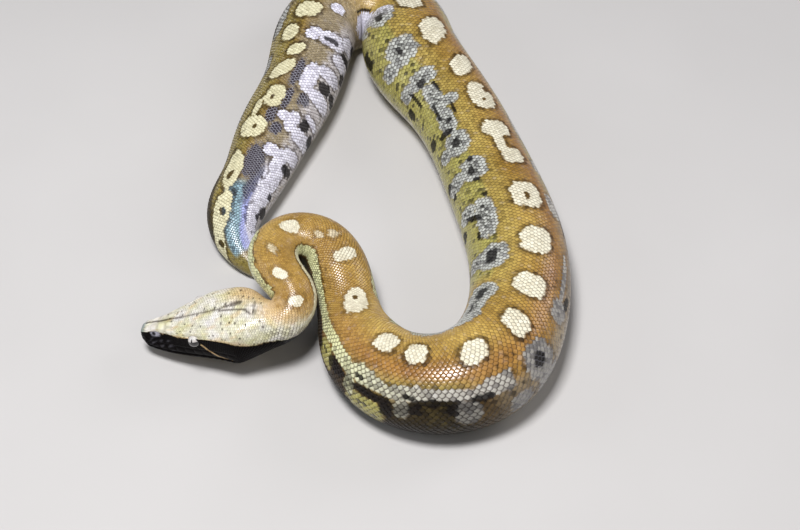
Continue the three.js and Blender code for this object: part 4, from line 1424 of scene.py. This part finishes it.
# Name, place, width and length, energy and colour of each soft light.
LIGHTS = [
    ("key", (-0.16, -0.34, 1.28), (0.34, 0.3), 20, (0.98, 0.97, 1)),
    ("front", (0.5, -0.9, 0.9), (0.8, 0.8), 1.6, (1, 0.96, 0.9)),
    ("right", (1.1, 0.45, 0.7), (0.6, 0.6), 4, (0.94, 0.93, 1)),
    ("left", (-1.1, -0.2, 0.6), (0.6, 0.6), 2.4, (0.92, 0.94, 1)),
]
LIGHTS_AIM = (0, 0, 0.02)
LOOK_POINT = (0.024, -0.069, 0.025)
WORLD_COLOUR, WORLD_STRENGTH = (0.9, 0.92, 1, 1), 0.11
FLOOR_SHADES = (0.5, 0.49, 0.47), (0.56, 0.55, 0.53)


def area_light(name, place, width, energy, colour):
    light = bpy.data.lights.new(name, "AREA")
    light.shape = "RECTANGLE"
    light.size, light.size_y = width
    light.energy = energy
    light.color = colour
    lamp = bpy.data.objects.new(name, light)
    lamp.location = place
    lamp.rotation_mode = "QUATERNION"
    lamp.rotation_quaternion = (Vector(LIGHTS_AIM) - Vector(place)).to_track_quat("-Z", "Y")
    bpy.context.scene.collection.objects.link(lamp)


class OBJECT_OT_snake_stage(Operator):
    """The pale floor, the soft lights and the camera"""

    bl_idname = "object.snake_stage"
    bl_label = "Stage"

    def execute(self, context):
        ground = bmesh.new()
        bmesh.ops.create_grid(ground, x_segments=1, y_segments=1, size=6)
        mesh = bpy.data.meshes.new("floor")
        ground.to_mesh(mesh)
        ground.free()
        floor = named_object("floor", mesh)
        paper = Finish("pale_floor")
        paper.feed("Base Color", paper.blend(paper.noise(6.0), *FLOOR_SHADES))
        paper.fix(Roughness=0.8)
        mesh.materials.append(paper.material)

        world = bpy.data.worlds.new("soft_light")
        world.use_nodes = True
        backdrop = world.node_tree.nodes["Background"].inputs
        backdrop["Color"].default_value = WORLD_COLOUR
        backdrop["Strength"].default_value = WORLD_STRENGTH
        context.scene.world = world
        for light in LIGHTS:
            area_light(*light)
        context.scene.view_settings.view_transform = "Standard"

        sizes = context.scene.snake_sizes
        camera = bpy.data.cameras.new("camera")
        camera.lens = sizes.lens
        camera.sensor_width = 36
        camera.clip_start = 0.05
        eye = bpy.data.objects.new("camera", camera)
        back = Vector((0, -math.cos(sizes.camera_elevation), math.sin(sizes.camera_elevation)))
        eye.location = Vector(LOOK_POINT) + back * sizes.camera_distance
        eye.rotation_mode = "QUATERNION"
        eye.rotation_quaternion = (-back).to_track_quat("-Z", "Y")
        context.scene.collection.objects.link(eye)
        context.scene.camera = eye
        return {"FINISHED"}


class VIEW3D_PT_snake(Panel):
    bl_label = "Python"
    bl_space_type = "VIEW_3D"
    bl_region_type = "UI"
    bl_category = "Python"

    def draw(self, context):
        for operator in OPERATORS:
            self.layout.operator(operator.bl_idname)
        for group in (context.scene.snake_sizes, context.scene.snake_colours):
            for name in group.__annotations__:
                self.layout.prop(group, name)


OPERATORS = (
    OBJECT_OT_snake_stage,
    OBJECT_OT_snake_skin,
    OBJECT_OT_snake_eyes,
    OBJECT_OT_snake_shields,
    OBJECT_OT_snake_scales,
    OBJECT_OT_snake_scutes,
)
CLASSES = (SnakeColours, SnakeSizes, *OPERATORS, VIEW3D_PT_snake)


def register():
    for item in CLASSES:
        bpy.utils.register_class(item)
    bpy.types.Scene.snake_colours = PointerProperty(type=SnakeColours)
    bpy.types.Scene.snake_sizes = PointerProperty(type=SnakeSizes)


def unregister():
    del bpy.types.Scene.snake_sizes
    del bpy.types.Scene.snake_colours
    for item in reversed(CLASSES):
        bpy.utils.unregister_class(item)


def main():
    register()
    bpy.ops.object.snake_stage()
    bpy.ops.object.snake_skin()
    bpy.ops.object.snake_eyes()
    bpy.ops.object.snake_shields()
    bpy.ops.object.snake_scales()
    bpy.ops.object.snake_scutes()


if __name__ == "__main__":
    main()
